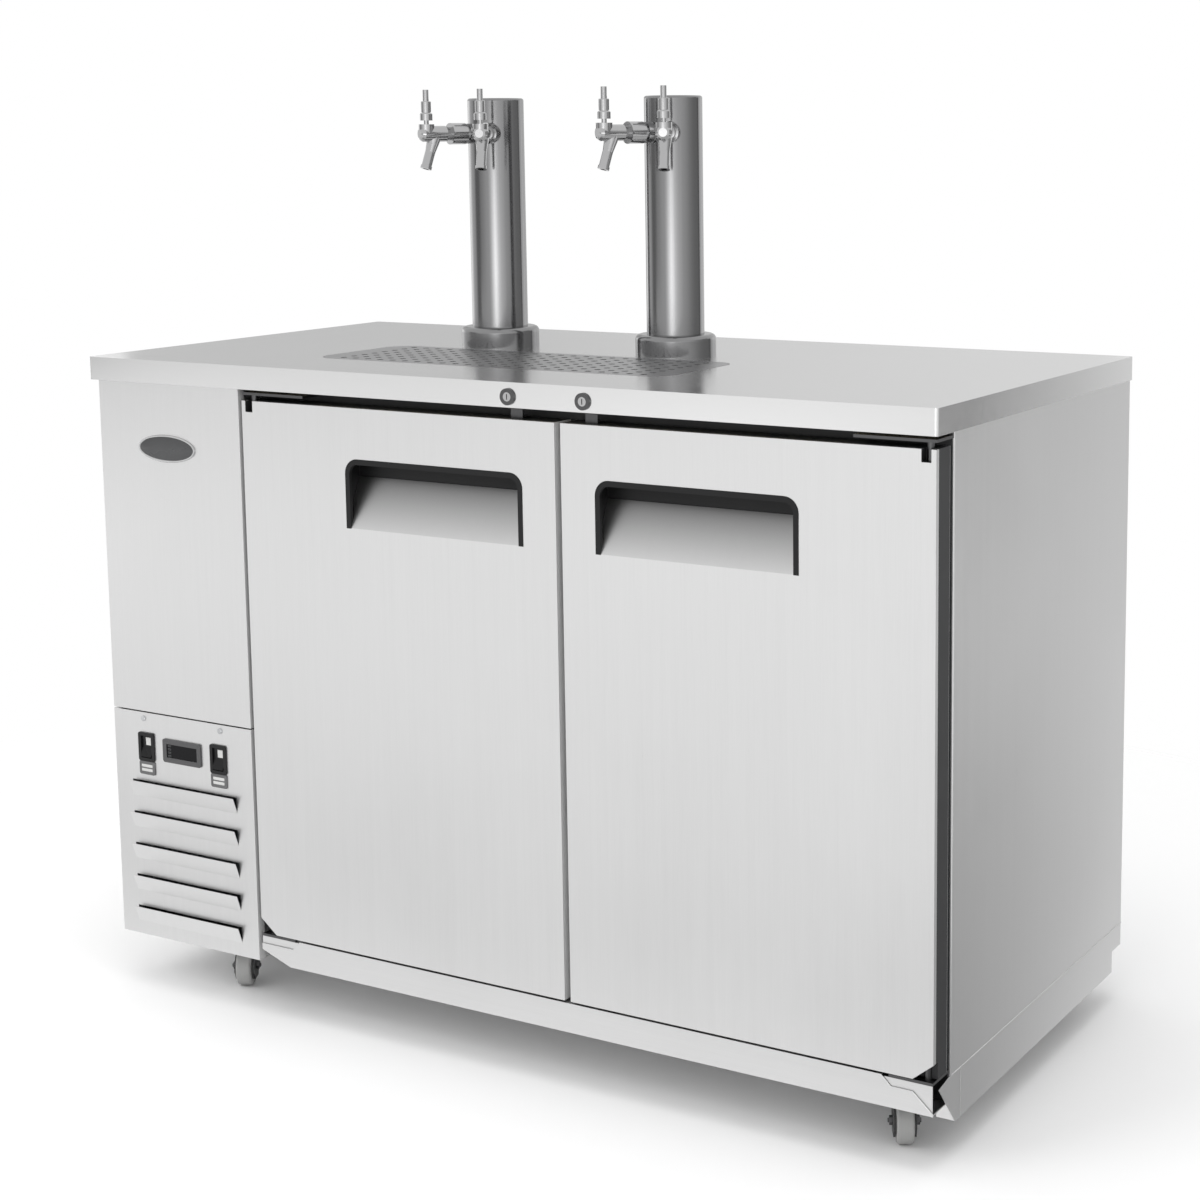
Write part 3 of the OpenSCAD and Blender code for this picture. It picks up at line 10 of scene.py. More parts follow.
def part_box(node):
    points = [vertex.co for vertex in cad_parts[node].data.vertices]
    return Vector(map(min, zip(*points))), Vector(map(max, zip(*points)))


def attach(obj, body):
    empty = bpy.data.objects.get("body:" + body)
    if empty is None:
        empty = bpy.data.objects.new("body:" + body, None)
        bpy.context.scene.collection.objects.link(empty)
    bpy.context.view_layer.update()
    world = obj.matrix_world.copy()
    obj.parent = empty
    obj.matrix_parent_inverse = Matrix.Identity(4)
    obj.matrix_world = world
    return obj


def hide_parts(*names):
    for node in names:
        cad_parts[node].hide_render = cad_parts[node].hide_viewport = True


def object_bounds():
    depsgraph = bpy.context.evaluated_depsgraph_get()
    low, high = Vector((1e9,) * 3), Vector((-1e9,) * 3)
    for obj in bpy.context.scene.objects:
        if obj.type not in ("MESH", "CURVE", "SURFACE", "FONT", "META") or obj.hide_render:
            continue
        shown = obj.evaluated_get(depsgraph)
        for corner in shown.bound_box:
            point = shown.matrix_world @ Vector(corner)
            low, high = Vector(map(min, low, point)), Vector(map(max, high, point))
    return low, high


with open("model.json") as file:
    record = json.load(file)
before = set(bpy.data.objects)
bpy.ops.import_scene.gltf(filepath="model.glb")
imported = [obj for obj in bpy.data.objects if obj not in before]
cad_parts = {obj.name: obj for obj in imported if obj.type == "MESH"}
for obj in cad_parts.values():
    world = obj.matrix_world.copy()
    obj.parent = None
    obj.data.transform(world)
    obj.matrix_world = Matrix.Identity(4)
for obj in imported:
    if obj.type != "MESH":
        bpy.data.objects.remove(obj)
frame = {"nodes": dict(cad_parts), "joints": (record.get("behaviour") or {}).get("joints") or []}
cad_low, cad_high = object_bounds()
nodes = frame["nodes"]
joints = {joint["name"]: joint for joint in frame["joints"]}

MM = 0.001
SIDES = ("left", "right")
ENDS = ("front", "rear")

# Camera, fitted to a picture of 1200 by 1200 pixels
PICTURE_PIXELS = 1200
SENSOR_MM = 36
FOCAL_PIXELS = 2191.4
CENTRE_PIXELS = (760, 436)
CAMERA_AZIMUTH = 29.35
CAMERA_ELEVATION = 7.87
CAMERA_ROLL = -0.35
CAMERA_DISTANCE = 3.2827
CAMERA_TARGET = (0.278, 0.0, 0.9136)

# Floor and surround
FLOOR_RADIUS = 9.0
FLOOR_DROP = 0.0005
FLOOR_FADE = (0.8, 2.2)
SURROUND_LIGHT = 0.86

# Soft boxes: name, place, aim, size and watts
LAMPS = (("key light", (-2.2, -3.6, 3.4), (0, 0, 0.7), 2.4, 60),
         ("top light", (0.4, -0.4, 4.2), (0, 0, 0.9), 3.0, 70))

# Upright cards: name, lower and upper edge, what is left at the upper edge of a grey's distance from white,
# and stops of azimuth, from the front to the right, and grey
CARD_DISTANCE = 4.2
CARD_RINGS = (
    ("far left card", 0.4, 1.6, 1.0, ((-126, 1.0), (-116, 1.7), (-100, 1.5), (-90, 1.0))),
    ("left card", 0.6, 1.6, 1.0, ((-84, 1.0), (-74, 0.85), (-65, 0.34), (-50, 0.34))),
    ("left front card", 0.8, 1.6, 1.0, ((-50, 0.34), (-40, 0.62), (-30, 0.74), (-14, 1.0))),
    ("low front card", 0.1, 0.48, 1.0, ((-68, 1.0), (-60, 1.6), (-49, 1.5), (-42, 1.1), (-34, 1.1),
                                        (-27, 1.35), (-18, 1.3), (-10, 1.0))),
    ("key card", 0.66, 1.5, 0.25, ((-8, 1.0), (0, 1.7), (8, 3.0), (18, 4.8), (26, 3.9), (34, 2.5), (44, 1.8),
                                   (54, 1.4), (64, 1.1))),
    ("right cards", 0.3, 3.0, 1.0, ((66, 1.0), (76, 0.90), (88, 0.75), (98, 0.60), (117, 0.43), (139, 0.38))),
    ("side cards", -1.2, 2.2, 1.0, ((139, 0.22), (145, 0.26), (149, 0.52), (153, 0.92), (157, 1.15),
                                    (165, 1.3), (172, 1.3))),
    ("back cards", 0.4, 3.0, 1.0, ((182, 1.2), (190, 0.78), (206, 0.72), (220, 0.60), (236, 0.60),
                                   (244, 1.0))))

# Floor cloths: a stop of the side one has its Y on the near and the far row and its greys there; a stop of
# the front one has a Y and a grey for both rows
CLOTH_RISE = 0.004
SIDE_CLOTH_X = (0.75, 2.4)
SIDE_CLOTH = ((-1.3, 1.2, 0.35, 0.30), (-0.40, 3.1, 0.36, 0.31), (-0.19, 3.58, 0.43, 0.42),
              (0.05, 4.15, 0.61, 0.61), (0.30, 4.76, 0.78, 0.78), (0.62, 5.5, 0.95, 0.92))
FRONT_CLOTH_X = (-3.6, 0.7)
FRONT_CLOTH = ((-3.8, 0.97), (-2.2, 1.0), (-1.6, 0.98), (-1.2, 0.88), (-0.9, 0.82), (-0.7, 0.84),
               (-0.54, 0.98), (-0.3, 1.0))

# Shared effects: bands between the scratches, tone, and scatter, which is added to the roughness; a range of
# dust or wear goes from none to full
NOISE_MIDDLE = 0.5
BAND_SCALE = 0.09
BAND_SHARE = 0.6
GRAIN_TONE = 0.10
GRAIN_SCATTER = 0.22
MARK_TONE = 0.08
MARK_SCATTER = 0.16
CRYSTAL_WARP = (0.012, 0.012, 0.012)
CRYSTAL_TONE = (0.82, 1.08)
CRYSTAL_SCATTER = (-0.08, 0.10)
DUST_FACING = (0.2, 1.0)
DUST_SPREAD = (0.35, 0.75)
WEAR_ALIKE = (0.98, 0.80)
WEAR_SPREAD = (0.35, 0.6)

# Relief of the finishes: strength and depth
GRAIN_RELIEF = (0.10, 0.02 * MM)
CRYSTAL_RELIEF = (0.12, 0.05 * MM)
STUCCO_RELIEF = (0.55, 0.8 * MM)
SKIN_RELIEF = (0.16, 0.12 * MM)
DOOR_EDGE_RELIEF = (0.14, 0.1 * MM)

# Metal finishes, as linear colours
SATIN_STEEL = (0.72, 0.72, 0.72)
SATIN_ROUGHNESS = 0.36
DRIP_STEEL = (0.34, 0.34, 0.345)
POLISHED_STEEL = (0.25, 0.25, 0.253)
TURNED_STEEL = (0.44, 0.44, 0.443)
DARK_STEEL = (0.11, 0.11, 0.112)
LINER_ALLOY = (0.72, 0.73, 0.74)
ZINC = (0.62, 0.63, 0.64)
FIN_ALLOY = (0.66, 0.68, 0.70)

# Moulded and painted finishes
HANDLE_BLACK = (0.010, 0.010, 0.0105)
SWITCH_BLACK = (0.012, 0.012, 0.0125)
BEZEL_GREY = (0.07, 0.07, 0.072)
EDGE_GREY = (0.045, 0.046, 0.048)
DOOR_EDGE = (0.028, 0.0285, 0.030)
# Pale grey of the folds and free door edges that face a gap: painted light, standing in for the light seen in
# the gaps
PAINTED_GAP_GREY = (0.62, 0.62, 0.62)
WINDOW_BLACK = (0.006, 0.006, 0.007)
GASKET_GREY = (0.030, 0.030, 0.032)
FORK_BLACK = (0.022, 0.022, 0.023)
TREAD_GREY = (0.34, 0.34, 0.335)
LINER_WHITE = (0.62, 0.63, 0.63)
BADGE_GREY = (0.055, 0.056, 0.058)
LEGEND_GREY = (0.13, 0.13, 0.132)
# White of the printed marks, also used for the painted highlight on each rocker
MARK_AND_HIGHLIGHT_WHITE = (0.62, 0.62, 0.61)
LOW_SHEEN = 0.25
DOOR_EDGE_ROUGHNESS = 0.45
WINDOW_ROUGHNESS = 0.1
WINDOW_SHEEN = 0.12
WINDOW_COAT = 0.08
WINDOW_COAT_ROUGHNESS = 0.04
FOAM_CREAM = (0.62, 0.55, 0.36)
DUST_GREY = (0.35, 0.34, 0.32)
BARE_METAL = (0.4, 0.4, 0.4)
FLOOR_PALE = (0.90, 0.90, 0.90)
FLOOR_ROUGHNESS = 0.9

# Bare oval badge on the service panel
BADGE_MIDDLE = (-577.5 * MM, 884 * MM)
BADGE_SIZE = (117 * MM, 43 * MM)
BADGE_RIM = ((0, 0), (0, 1.4), (0.7, 2.2), (2.6, 2.2), (3.4, 1.3))
BADGE_FIELD = ((3.4, 1.3), (6, 1.5), (11, 1.9), (16, 2.1), (20, 2.2))

# Legend plate under each switch with its pale bars; a section is millimetres in from the edge and up
LEGEND_SIZE = (33 * MM, 22 * MM)
LEGEND_CORNER = 3 * MM
LEGEND_SECTION = ((0, 0), (0, 1.6), (0.6, 2.2), (2.2, 2.2), (2.6, 1.6))
BAR_SIZE = (23 * MM, 4.6 * MM)
BAR_CORNER = 1 * MM
BAR_SECTION = ((0, 1.5), (0, 1.9), (0.3, 2.1))
BAR_SPREAD = 0.75

# Keys of the controller, and the painted highlight on the upper end of each rocker
KEY_COLUMN = 12 * MM
KEY_SIZE = (7 * MM, 3.4 * MM)
KEY_CORNER = 1.1 * MM
KEY_SECTION = ((0, -0.3), (0, 0.5), (0.4, 0.9), (0.9, 1.0))
KEY_COUNT = 4
HIGHLIGHT_SIZE = (13 * MM, 13 * MM)
HIGHLIGHT_OFFSET = 4 * MM
HIGHLIGHT_HEIGHT = 0.74
HIGHLIGHT_RISE = 0.3 * MM
HIGHLIGHT_TAPER = 0.3
HIGHLIGHT_SEARCH = 20 * MM

# Handle recess of the doors: wall and finger room of its cup, its trim and its painted shade
CUP_WALL = 1.5 * MM
FINGER_RISE = 14 * MM
TRIM_WIDTH = 8 * MM
TRIM_CORNER = 22 * MM
TRIM_STEPS = 8
TRIM_DEPTH = (-0.5 * MM, 5 * MM)
SLOPE_SHADE = 0.85
FLOOR_SHADE = 0.245
RECESS_START = 0.3 * MM

# Folded edges, and rounding of the edges of CAD nodes
EDGE_REACH = 1 * MM
INNER_REACH = 0.4 * MM
PANEL_FOLD = 14 * MM
FLAT_SHEETS = ("service_panel", "louvre_panel")
FLAT_ANGLE = math.radians(0.5)
SHARP_ANGLE = math.radians(40)
WELD_REACH = 0.01 * MM
WORKTOP_ROUNDING = 0.9 * MM
SHEET_ROUNDING = 0.4 * MM
FITTING_ROUNDING = 0.5 * MM

# Half of the gasket's section, and the inner panel's: millimetres in from the edge and up from the door
GASKET_WIDTH = 16 * MM
GASKET_SHARP = 50
GASKET_SECTION = ((1.4, 0.0), (0.5, 1.0), (1.2, 2.2), (3.6, 3.3), (1.0, 4.7), (0.6, 5.8), (2.6, 6.6),
                  (1.9, 7.3), (1.9, 9.9), (2.6, 10.6))
INNER_PANEL = ((0.6, 0.2), (0.6, 1.2), (16, 1.2), (19, 2.0), (24, 6.0), (27, 7.0))
PANEL_SHARP = 20
INNER_FOLD = 1.2 * MM
INNER_FOLD_ANGLE = math.radians(8)

# Steps of round forms
OVAL_STEPS = 72
CORNER_STEPS = 5
WIRE_STEPS = 8
WASHER_STEPS = 20
FOLD_STEPS = 20
RING_STEPS = 24
STEPS_PER_RING = 8
FLOOR_STEPS = 96
HEXAGON = 6

# Wire guard of the cold fan and the screws and bolts; a turned section is radius and height in millimetres
GUARD_WIRE = 1.2 * MM
GUARD_STEP = 15 * MM
GUARD_RINGS = 6
GUARD_SPOKES = 6
RING_STAND = 3 * GUARD_WIRE
SPOKE_STAND = 1.2 * GUARD_WIRE
GUARD_SCREW_REACH = 3 * GUARD_WIRE
WASHER = ((0.0, 0.0), (6.4, 0.0), (6.4, 0.7), (5.8, 1.1), (0.0, 1.1))
SCREW_HEAD = ((0.0, 1.0), (4.4, 1.0), (4.4, 3.0), (3.9, 3.5), (0.0, 3.5))
BOLT_HEAD = ((0.0, 0.0), (4.6, 0.0), (4.6, 3.0), (4.1, 3.6), (0.0, 3.6))
AXLE_NUT = ((0.0, 0.0), (6.6, 0.0), (6.6, 4.4), (6.0, 5.0), (3.2, 5.0), (3.2, 6.4), (2.6, 7.0), (0.0, 7.0))
PANEL_SCREW_INSET = 9 * MM
PANEL_SCREW_PITCH = 170 * MM
CASTER_BOLT_INSET = 6.5 * MM
FORK_HALF_WIDTH = 16 * MM
FORK_GAP = 1.4 * MM

# Closing plates behind the notched ends of the base strip
CLOSER_LENGTH = 76 * MM
CLOSER_DEPTH = (2.1 * MM, 3.1 * MM)
CLOSER_TOP = 2.7 * MM
CLOSER_LIFT = 2 * MM
CLOSER_CUT = (56 * MM, 20.5 * MM)

# Rounded folds of the right side
EDGE_FOLD_RADIUS = 2.4 * MM
SEAM_FOLD_RADIUS = 1.2 * MM
FOLD_PROUD = 0.8 * MM
RAIL_JOINT = 34 * MM


def place(tree, kind, inputs=None, **settings):
    """Adds a node; each input is a value or the socket that feeds it."""
    made = tree.nodes.new(kind)
    for name, value in settings.items():
        setattr(made, name, value)
    for name, value in (inputs or {}).items():
        socket = made.inputs[name]
        if isinstance(value, bpy.types.NodeSocket):
            tree.links.new(value, socket)
        else:
            socket.default_value = value
    return made


def reckon(tree, kind, first, second, third=0.5):
    """A Math node on values or sockets; only some kinds use the third."""
    return place(tree, "ShaderNodeMath", {0: first, 1: second, 2: third}, operation=kind).outputs[0]


def own_place(tree):
    """Place of a point in the own coordinates of its piece."""
    return place(tree, "ShaderNodeTexCoord").outputs["Object"]


def ranged(tree, value, low, high, to_low=0.0, to_high=1.0):
    """A value carried over from one range to another."""
    return place(tree, "ShaderNodeMapRange", {"Value": value, "From Min": low, "From Max": high,
                                              "To Min": to_low, "To Max": to_high}).outputs[0]


def noise(tree, where, scale, detail, roughness=0.5, distortion=0.0):
    """Outputs of a Noise texture: its value, then its colour."""
    return place(tree, "ShaderNodeTexNoise", {"Vector": where, "Scale": scale, "Detail": detail,
                                              "Roughness": roughness, "Distortion": distortion}).outputs


def new_group(name, inputs, outputs):
    """A shader node group with named sockets; gives its tree, its input sockets and its output sockets."""
    tree = bpy.data.node_groups.new(name, "ShaderNodeTree")
    for label, kind, value in inputs:
        socket = tree.interface.new_socket(label, in_out="INPUT", socket_type=kind)
        socket.default_value = value
    for label, kind in outputs:
        tree.interface.new_socket(label, in_out="OUTPUT", socket_type=kind)
    entry = tree.nodes.new("NodeGroupInput").outputs
    leave = tree.nodes.new("NodeGroupOutput").inputs
    return tree, entry, leave


def brushed_grain():
    """Fine parallel scratches of a brushed sheet, with broad bands between them."""
    tree, entry, leave = new_group(
        "Brushed grain",
        [("Stretch", "NodeSocketVector", (40, 40, 900)), ("Strength", "NodeSocketFloat", 1.0)],
        [("Shade", "NodeSocketFloat"), ("Roughness", "NodeSocketFloat"), ("Height", "NodeSocketFloat")])
    fine_at = place(tree, "ShaderNodeVectorMath", {0: own_place(tree), 1: entry["Stretch"]},
                    operation="MULTIPLY").outputs[0]
    band_at = place(tree, "ShaderNodeVectorMath", {0: fine_at, "Scale": BAND_SCALE},
                    operation="SCALE").outputs[0]
    fine = noise(tree, fine_at, scale=1.0, detail=5.0, roughness=0.72)[0]
    band = noise(tree, band_at, scale=1.0, detail=3.0, roughness=0.6)[0]
    fine_off = reckon(tree, "SUBTRACT", fine, NOISE_MIDDLE)
    band_off = reckon(tree, "SUBTRACT", band, NOISE_MIDDLE)
    both = reckon(tree, "ADD", fine_off, reckon(tree, "MULTIPLY", band_off, BAND_SHARE))
    scaled = reckon(tree, "MULTIPLY", both, entry["Strength"])
    tree.links.new(reckon(tree, "MULTIPLY_ADD", scaled, GRAIN_TONE, 1.0), leave["Shade"])
    tree.links.new(reckon(tree, "MULTIPLY", scaled, GRAIN_SCATTER), leave["Roughness"])
    tree.links.new(reckon(tree, "MULTIPLY", fine, entry["Strength"]), leave["Height"])
    return tree


def handling_marks():
    """Soft cloudy patches where a surface was wiped and touched."""
    tree, entry, leave = new_group(
        "Handling marks",
        [("Scale", "NodeSocketFloat", 3.0), ("Strength", "NodeSocketFloat", 1.0)],
        [("Shade", "NodeSocketFloat"), ("Roughness", "NodeSocketFloat")])
    cloud = noise(tree, own_place(tree), entry["Scale"], detail=4.0, roughness=0.55, distortion=0.6)[0]
    off = reckon(tree, "MULTIPLY", reckon(tree, "SUBTRACT", cloud, NOISE_MIDDLE), entry["Strength"])
    tree.links.new(reckon(tree, "MULTIPLY_ADD", off, MARK_TONE, 1.0), leave["Shade"])
    tree.links.new(reckon(tree, "MULTIPLY", off, MARK_SCATTER), leave["Roughness"])
    return tree


def moulded_skin():
    """Fine pebbled skin of a moulded piece, with slight changes of tone."""
    tree, entry, leave = new_group(
        "Moulded skin",
        [("Scale", "NodeSocketFloat", 1400.0), ("Tone", "NodeSocketFloat", 0.25)],
        [("Shade", "NodeSocketFloat"), ("Height", "NodeSocketFloat")])
    where = own_place(tree)
    pebble = place(tree, "ShaderNodeTexVoronoi", {"Vector": where, "Scale": entry["Scale"]},
                   feature="SMOOTH_F1").outputs["Distance"]
    cloud = noise(tree, where, scale=22.0, detail=4.0)[0]
    off = reckon(tree, "MULTIPLY", reckon(tree, "SUBTRACT", cloud, NOISE_MIDDLE), entry["Tone"])
    tree.links.new(reckon(tree, "ADD", off, 1.0), leave["Shade"])
    tree.links.new(pebble, leave["Height"])
    return tree


def settled_dust():
    """Mask of the dust that lies on faces which look up."""
    tree, entry, leave = new_group(
        "Settled dust",
        [("Amount", "NodeSocketFloat", 0.3)],
        [("Mask", "NodeSocketFloat")])
    normal = place(tree, "ShaderNodeNewGeometry").outputs["Normal"]
    up = place(tree, "ShaderNodeSeparateXYZ", {0: normal}).outputs["Z"]
    facing = ranged(tree, up, *DUST_FACING)
    fleck = noise(tree, own_place(tree), scale=60.0, detail=6.0, roughness=0.7)[0]
    spread = ranged(tree, fleck, *DUST_SPREAD)
    mask = reckon(tree, "MULTIPLY", facing, spread)
    tree.links.new(reckon(tree, "MULTIPLY", mask, entry["Amount"]), leave["Mask"])
    return tree


def worn_edges():
    """Mask of the edges that rub bare, from the difference between a rounded and the true normal."""
    tree, entry, leave = new_group(
        "Worn edges",
        [("Radius", "NodeSocketFloat", 0.001), ("Amount", "NodeSocketFloat", 0.5)],
        [("Mask", "NodeSocketFloat")])
    rounded_normal = place(tree, "ShaderNodeBevel", {"Radius": entry["Radius"]}, samples=4).outputs[0]
    normal = place(tree, "ShaderNodeNewGeometry").outputs["Normal"]
    alike = place(tree, "ShaderNodeVectorMath", {0: rounded_normal, 1: normal},
                  operation="DOT_PRODUCT").outputs["Value"]
    edge = ranged(tree, alike, *WEAR_ALIKE)
    patch = noise(tree, own_place(tree), scale=90.0, detail=5.0)[0]
    broken = ranged(tree, patch, *WEAR_SPREAD)
    mask = reckon(tree, "MULTIPLY", edge, broken)
    tree.links.new(reckon(tree, "MULTIPLY", mask, entry["Amount"]), leave["Mask"])
    return tree


def crystal_spangle():
    """Patches of zinc crystals on a galvanised sheet."""
    tree, entry, leave = new_group(
        "Crystal spangle",
        [("Scale", "NodeSocketFloat", 90.0)],
        [("Shade", "NodeSocketFloat"), ("Roughness", "NodeSocketFloat"), ("Height", "NodeSocketFloat")])
    where = own_place(tree)
    warp = noise(tree, where, scale=60.0, detail=2.0)["Color"]
    shift = place(tree, "ShaderNodeVectorMath", {0: warp, 1: CRYSTAL_WARP}, operation="MULTIPLY").outputs[0]
    moved = place(tree, "ShaderNodeVectorMath", {0: where, 1: shift}, operation="ADD").outputs[0]
    cells = place(tree, "ShaderNodeTexVoronoi", {"Vector": moved, "Scale": entry["Scale"]})
    level = place(tree, "ShaderNodeSeparateXYZ", {0: cells.outputs["Color"]}).outputs["X"]
    tree.links.new(ranged(tree, level, 0.0, 1.0, *CRYSTAL_TONE), leave["Shade"])
    tree.links.new(ranged(tree, level, 0.0, 1.0, *CRYSTAL_SCATTER), leave["Roughness"])
    tree.links.new(level, leave["Height"])
    return tree


GRAIN = brushed_grain()
MARKS = handling_marks()
SKIN = moulded_skin()
DUST = settled_dust()
WEAR = worn_edges()
SPANGLE = crystal_spangle()


def new_material(name, roughness, metallic=0.0):
    """A material with its Principled shader; gives the material, its tree and the shader."""
    material = bpy.data.materials.new(name)
    material.use_nodes = True
    shader = material.node_tree.nodes["Principled BSDF"]
    shader.inputs["Roughness"].default_value = roughness
    shader.inputs["Metallic"].default_value = metallic
    return material, material.node_tree, shader


def use(tree, group, **values):
    """A shared effect placed in a material with its own values."""
    made = place(tree, "ShaderNodeGroup", node_tree=group)
    for name, value in values.items():
        made.inputs[name].default_value = value
    return made.outputs


def tinted(tree, colour, shade):
    """A colour made lighter or darker by a value that is 1 on average."""
    return place(tree, "ShaderNodeVectorMath", {0: colour, "Scale": shade}, operation="SCALE").outputs[0]


def mixed(tree, factor, first, second):
    """Two colours mixed by a mask."""
    made = place(tree, "ShaderNodeMix", data_type="RGBA")
    colours = [socket for socket in made.inputs if socket.type == "RGBA"]
    tree.links.new(factor, made.inputs["Factor"])
    for socket, value in zip(colours, (first, second)):
        if isinstance(value, bpy.types.NodeSocket):
            tree.links.new(value, socket)
        else:
            socket.default_value = (*value, 1)
    return [socket for socket in made.outputs if socket.type == "RGBA"][0]


def bump(tree, shader, height, strength, distance):
    """Relief from a height value."""
    made = place(tree, "ShaderNodeBump", {"Height": height, "Strength": strength, "Distance": distance})
    tree.links.new(made.outputs[0], shader.inputs["Normal"])


def brushed_look(tree, shader, roughness, stretch, grain=1.0, marks=1.0):
    """Grain and marks of a brushed sheet, stretched most across the grain; gives the shade of its colour."""
    lines = use(tree, GRAIN, Stretch=stretch, Strength=grain)
    clouds = use(tree, MARKS, Strength=marks)
    rough = reckon(tree, "ADD", lines["Roughness"], clouds["Roughness"])
    tree.links.new(reckon(tree, "ADD", rough, roughness), shader.inputs["Roughness"])
    bump(tree, shader, lines["Height"], *GRAIN_RELIEF)
    return reckon(tree, "MULTIPLY", lines["Shade"], clouds["Shade"])


def dull_and_painted_pale(tree, shader, fold, finish):
    """Finish of a sheet that is dull on a fold and painted pale there, for the light seen in the gap beside
    it.
    """
    tree.links.new(reckon(tree, "SUBTRACT", 1.0, fold), shader.inputs["Metallic"])
    return mixed(tree, fold, finish, PAINTED_GAP_GREY)


def brushed_metal(name, colour, roughness, stretch, grain=1.0, marks=1.0, painted_pale_beyond=None):
    """Brushed sheet metal; its fold beyond an X can be dull and painted pale, for the light in the gap beside
    it.
    """
    material, tree, shader = new_material(name, roughness, 1.0)
    finish = tinted(tree, colour, brushed_look(tree, shader, roughness, stretch, grain, marks))
    if painted_pale_beyond is not None:
        across = place(tree, "ShaderNodeSeparateXYZ", {0: own_place(tree)}).outputs["X"]
        finish = dull_and_painted_pale(tree, shader, reckon(tree, "GREATER_THAN", across, painted_pale_beyond), finish)
    tree.links.new(finish, shader.inputs["Base Color"])
    return material


def zinc_plated(name, colour, roughness, scale):
    """Zinc on plain steel, with its crystals."""
    material, tree, shader = new_material(name, roughness, 1.0)
    cells = use(tree, SPANGLE, Scale=scale)
    clouds = use(tree, MARKS, Scale=6.0, Strength=1.4)
    shade = reckon(tree, "MULTIPLY", cells["Shade"], clouds["Shade"])
    tree.links.new(tinted(tree, colour, shade), shader.inputs["Base Color"])
    tree.links.new(reckon(tree, "ADD", cells["Roughness"], roughness), shader.inputs["Roughness"])
    bump(tree, shader, cells["Height"], *CRYSTAL_RELIEF)
    return material


def stucco_alloy(name, colour, roughness, scale):
    """Embossed sheet of the inner liner."""
    material, tree, shader = new_material(name, roughness, 1.0)
    cells = place(tree, "ShaderNodeTexVoronoi", {"Vector": own_place(tree), "Scale": scale},
                  feature="SMOOTH_F1")
    clouds = use(tree, MARKS, Scale=2.4, Strength=1.2)
    tree.links.new(tinted(tree, colour, clouds["Shade"]), shader.inputs["Base Color"])
    tree.links.new(reckon(tree, "ADD", clouds["Roughness"], roughness), shader.inputs["Roughness"])
    bump(tree, shader, cells.outputs["Distance"], *STUCCO_RELIEF)
    return material


def moulded(name, colour, roughness, dust=0.0, wear=0.0, pebble=1400.0, sheen=0.5):
    """Moulded plastic, rubber or paint, with dust on top and worn edges where they are asked for."""
    material, tree, shader = new_material(name, roughness)
    shader.inputs["Specular IOR Level"].default_value = sheen
    skin = use(tree, SKIN, Scale=pebble)
    clouds = use(tree, MARKS, Scale=9.0, Strength=1.6)
    finish = tinted(tree, colour, skin["Shade"])
    if wear:
        finish = mixed(tree, use(tree, WEAR, Amount=wear)["Mask"], finish, BARE_METAL)
    if dust:
        finish = mixed(tree, use(tree, DUST, Amount=dust)["Mask"], finish, DUST_GREY)
    tree.links.new(finish, shader.inputs["Base Color"])
    tree.links.new(reckon(tree, "ADD", clouds["Roughness"], roughness), shader.inputs["Roughness"])
    bump(tree, shader, skin["Height"], *SKIN_RELIEF)
    return material


def on_free_edge(tree, across, side):
    """Mask of the door edge that lies at the other door."""
    low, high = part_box(f"{side}_door_core")
    if side == "left":
        return reckon(tree, "GREATER_THAN", across, high.x - EDGE_REACH)
    return reckon(tree, "LESS_THAN", across, low.x + EDGE_REACH)


def recessed_sheet(name, side, colour, roughness, stretch):
    """Brushed door sheet with painted shade that deepens into its handle recess, and a free edge that is dull
    and painted pale for the light in the gap.
    """
    material, tree, shader = new_material(name, roughness, 1.0)
    face, floor = (corner.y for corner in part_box(f"{side}_door_skin"))
    cup_low, cup_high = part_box(f"{side}_handle_cup")
    across, depth, height = place(tree, "ShaderNodeSeparateXYZ", {0: own_place(tree)}).outputs
    recess = reckon(tree, "GREATER_THAN", depth, face + RECESS_START)
    for value, low, high in ((across, cup_low.x, cup_high.x), (height, cup_low.z, cup_high.z)):
        inside = reckon(tree, "COMPARE", value, (low + high) / 2, (high - low) / 2)
        recess = reckon(tree, "MULTIPLY", recess, inside)
    # Painted shade: the colour darkens with depth inside the handle recess, standing in for the shade there
    recess_painted_shade = ranged(tree, depth, face, floor, 1.0 - SLOPE_SHADE, 1.0 - FLOOR_SHADE)
    lit = reckon(tree, "SUBTRACT", 1.0, reckon(tree, "MULTIPLY", recess, recess_painted_shade))
    shade = reckon(tree, "MULTIPLY", brushed_look(tree, shader, roughness, stretch), lit)
    # The free edge's fold is dull and painted pale, for the light in the gap between the doors
    fold = reckon(tree, "MULTIPLY", on_free_edge(tree, across, side),
                  reckon(tree, "GREATER_THAN", depth, face + EDGE_REACH))
    tree.links.new(dull_and_painted_pale(tree, shader, fold, tinted(tree, colour, shade)), shader.inputs["Base Color"])
    return material


def door_edges(name, side):
    """Moulded door edges, dark but for the free one, which is painted pale for the light in the gap between
    the doors, with a pale inner panel inside the gasket.
    """
    material, tree, shader = new_material(name, DOOR_EDGE_ROUGHNESS)
    shader.inputs["Specular IOR Level"].default_value = LOW_SHEEN
    inner_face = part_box(f"{side}_door_gasket")[0].y
    skin = use(tree, SKIN, Scale=1100.0)
    across, depth, _ = place(tree, "ShaderNodeSeparateXYZ", {0: own_place(tree)}).outputs
    inner = reckon(tree, "GREATER_THAN", depth, inner_face - INNER_REACH)
    edges = mixed(tree, on_free_edge(tree, across, side), tinted(tree, DOOR_EDGE, skin["Shade"]),
                  tinted(tree, PAINTED_GAP_GREY, skin["Shade"]))
    pale = tinted(tree, LINER_WHITE, skin["Shade"])
    tree.links.new(mixed(tree, inner, edges, pale), shader.inputs["Base Color"])
    clouds = use(tree, MARKS, Scale=5.0, Strength=1.0)
    tree.links.new(reckon(tree, "ADD", clouds["Roughness"], DOOR_EDGE_ROUGHNESS), shader.inputs["Roughness"])
    bump(tree, shader, skin["Height"], *DOOR_EDGE_RELIEF)
    return material


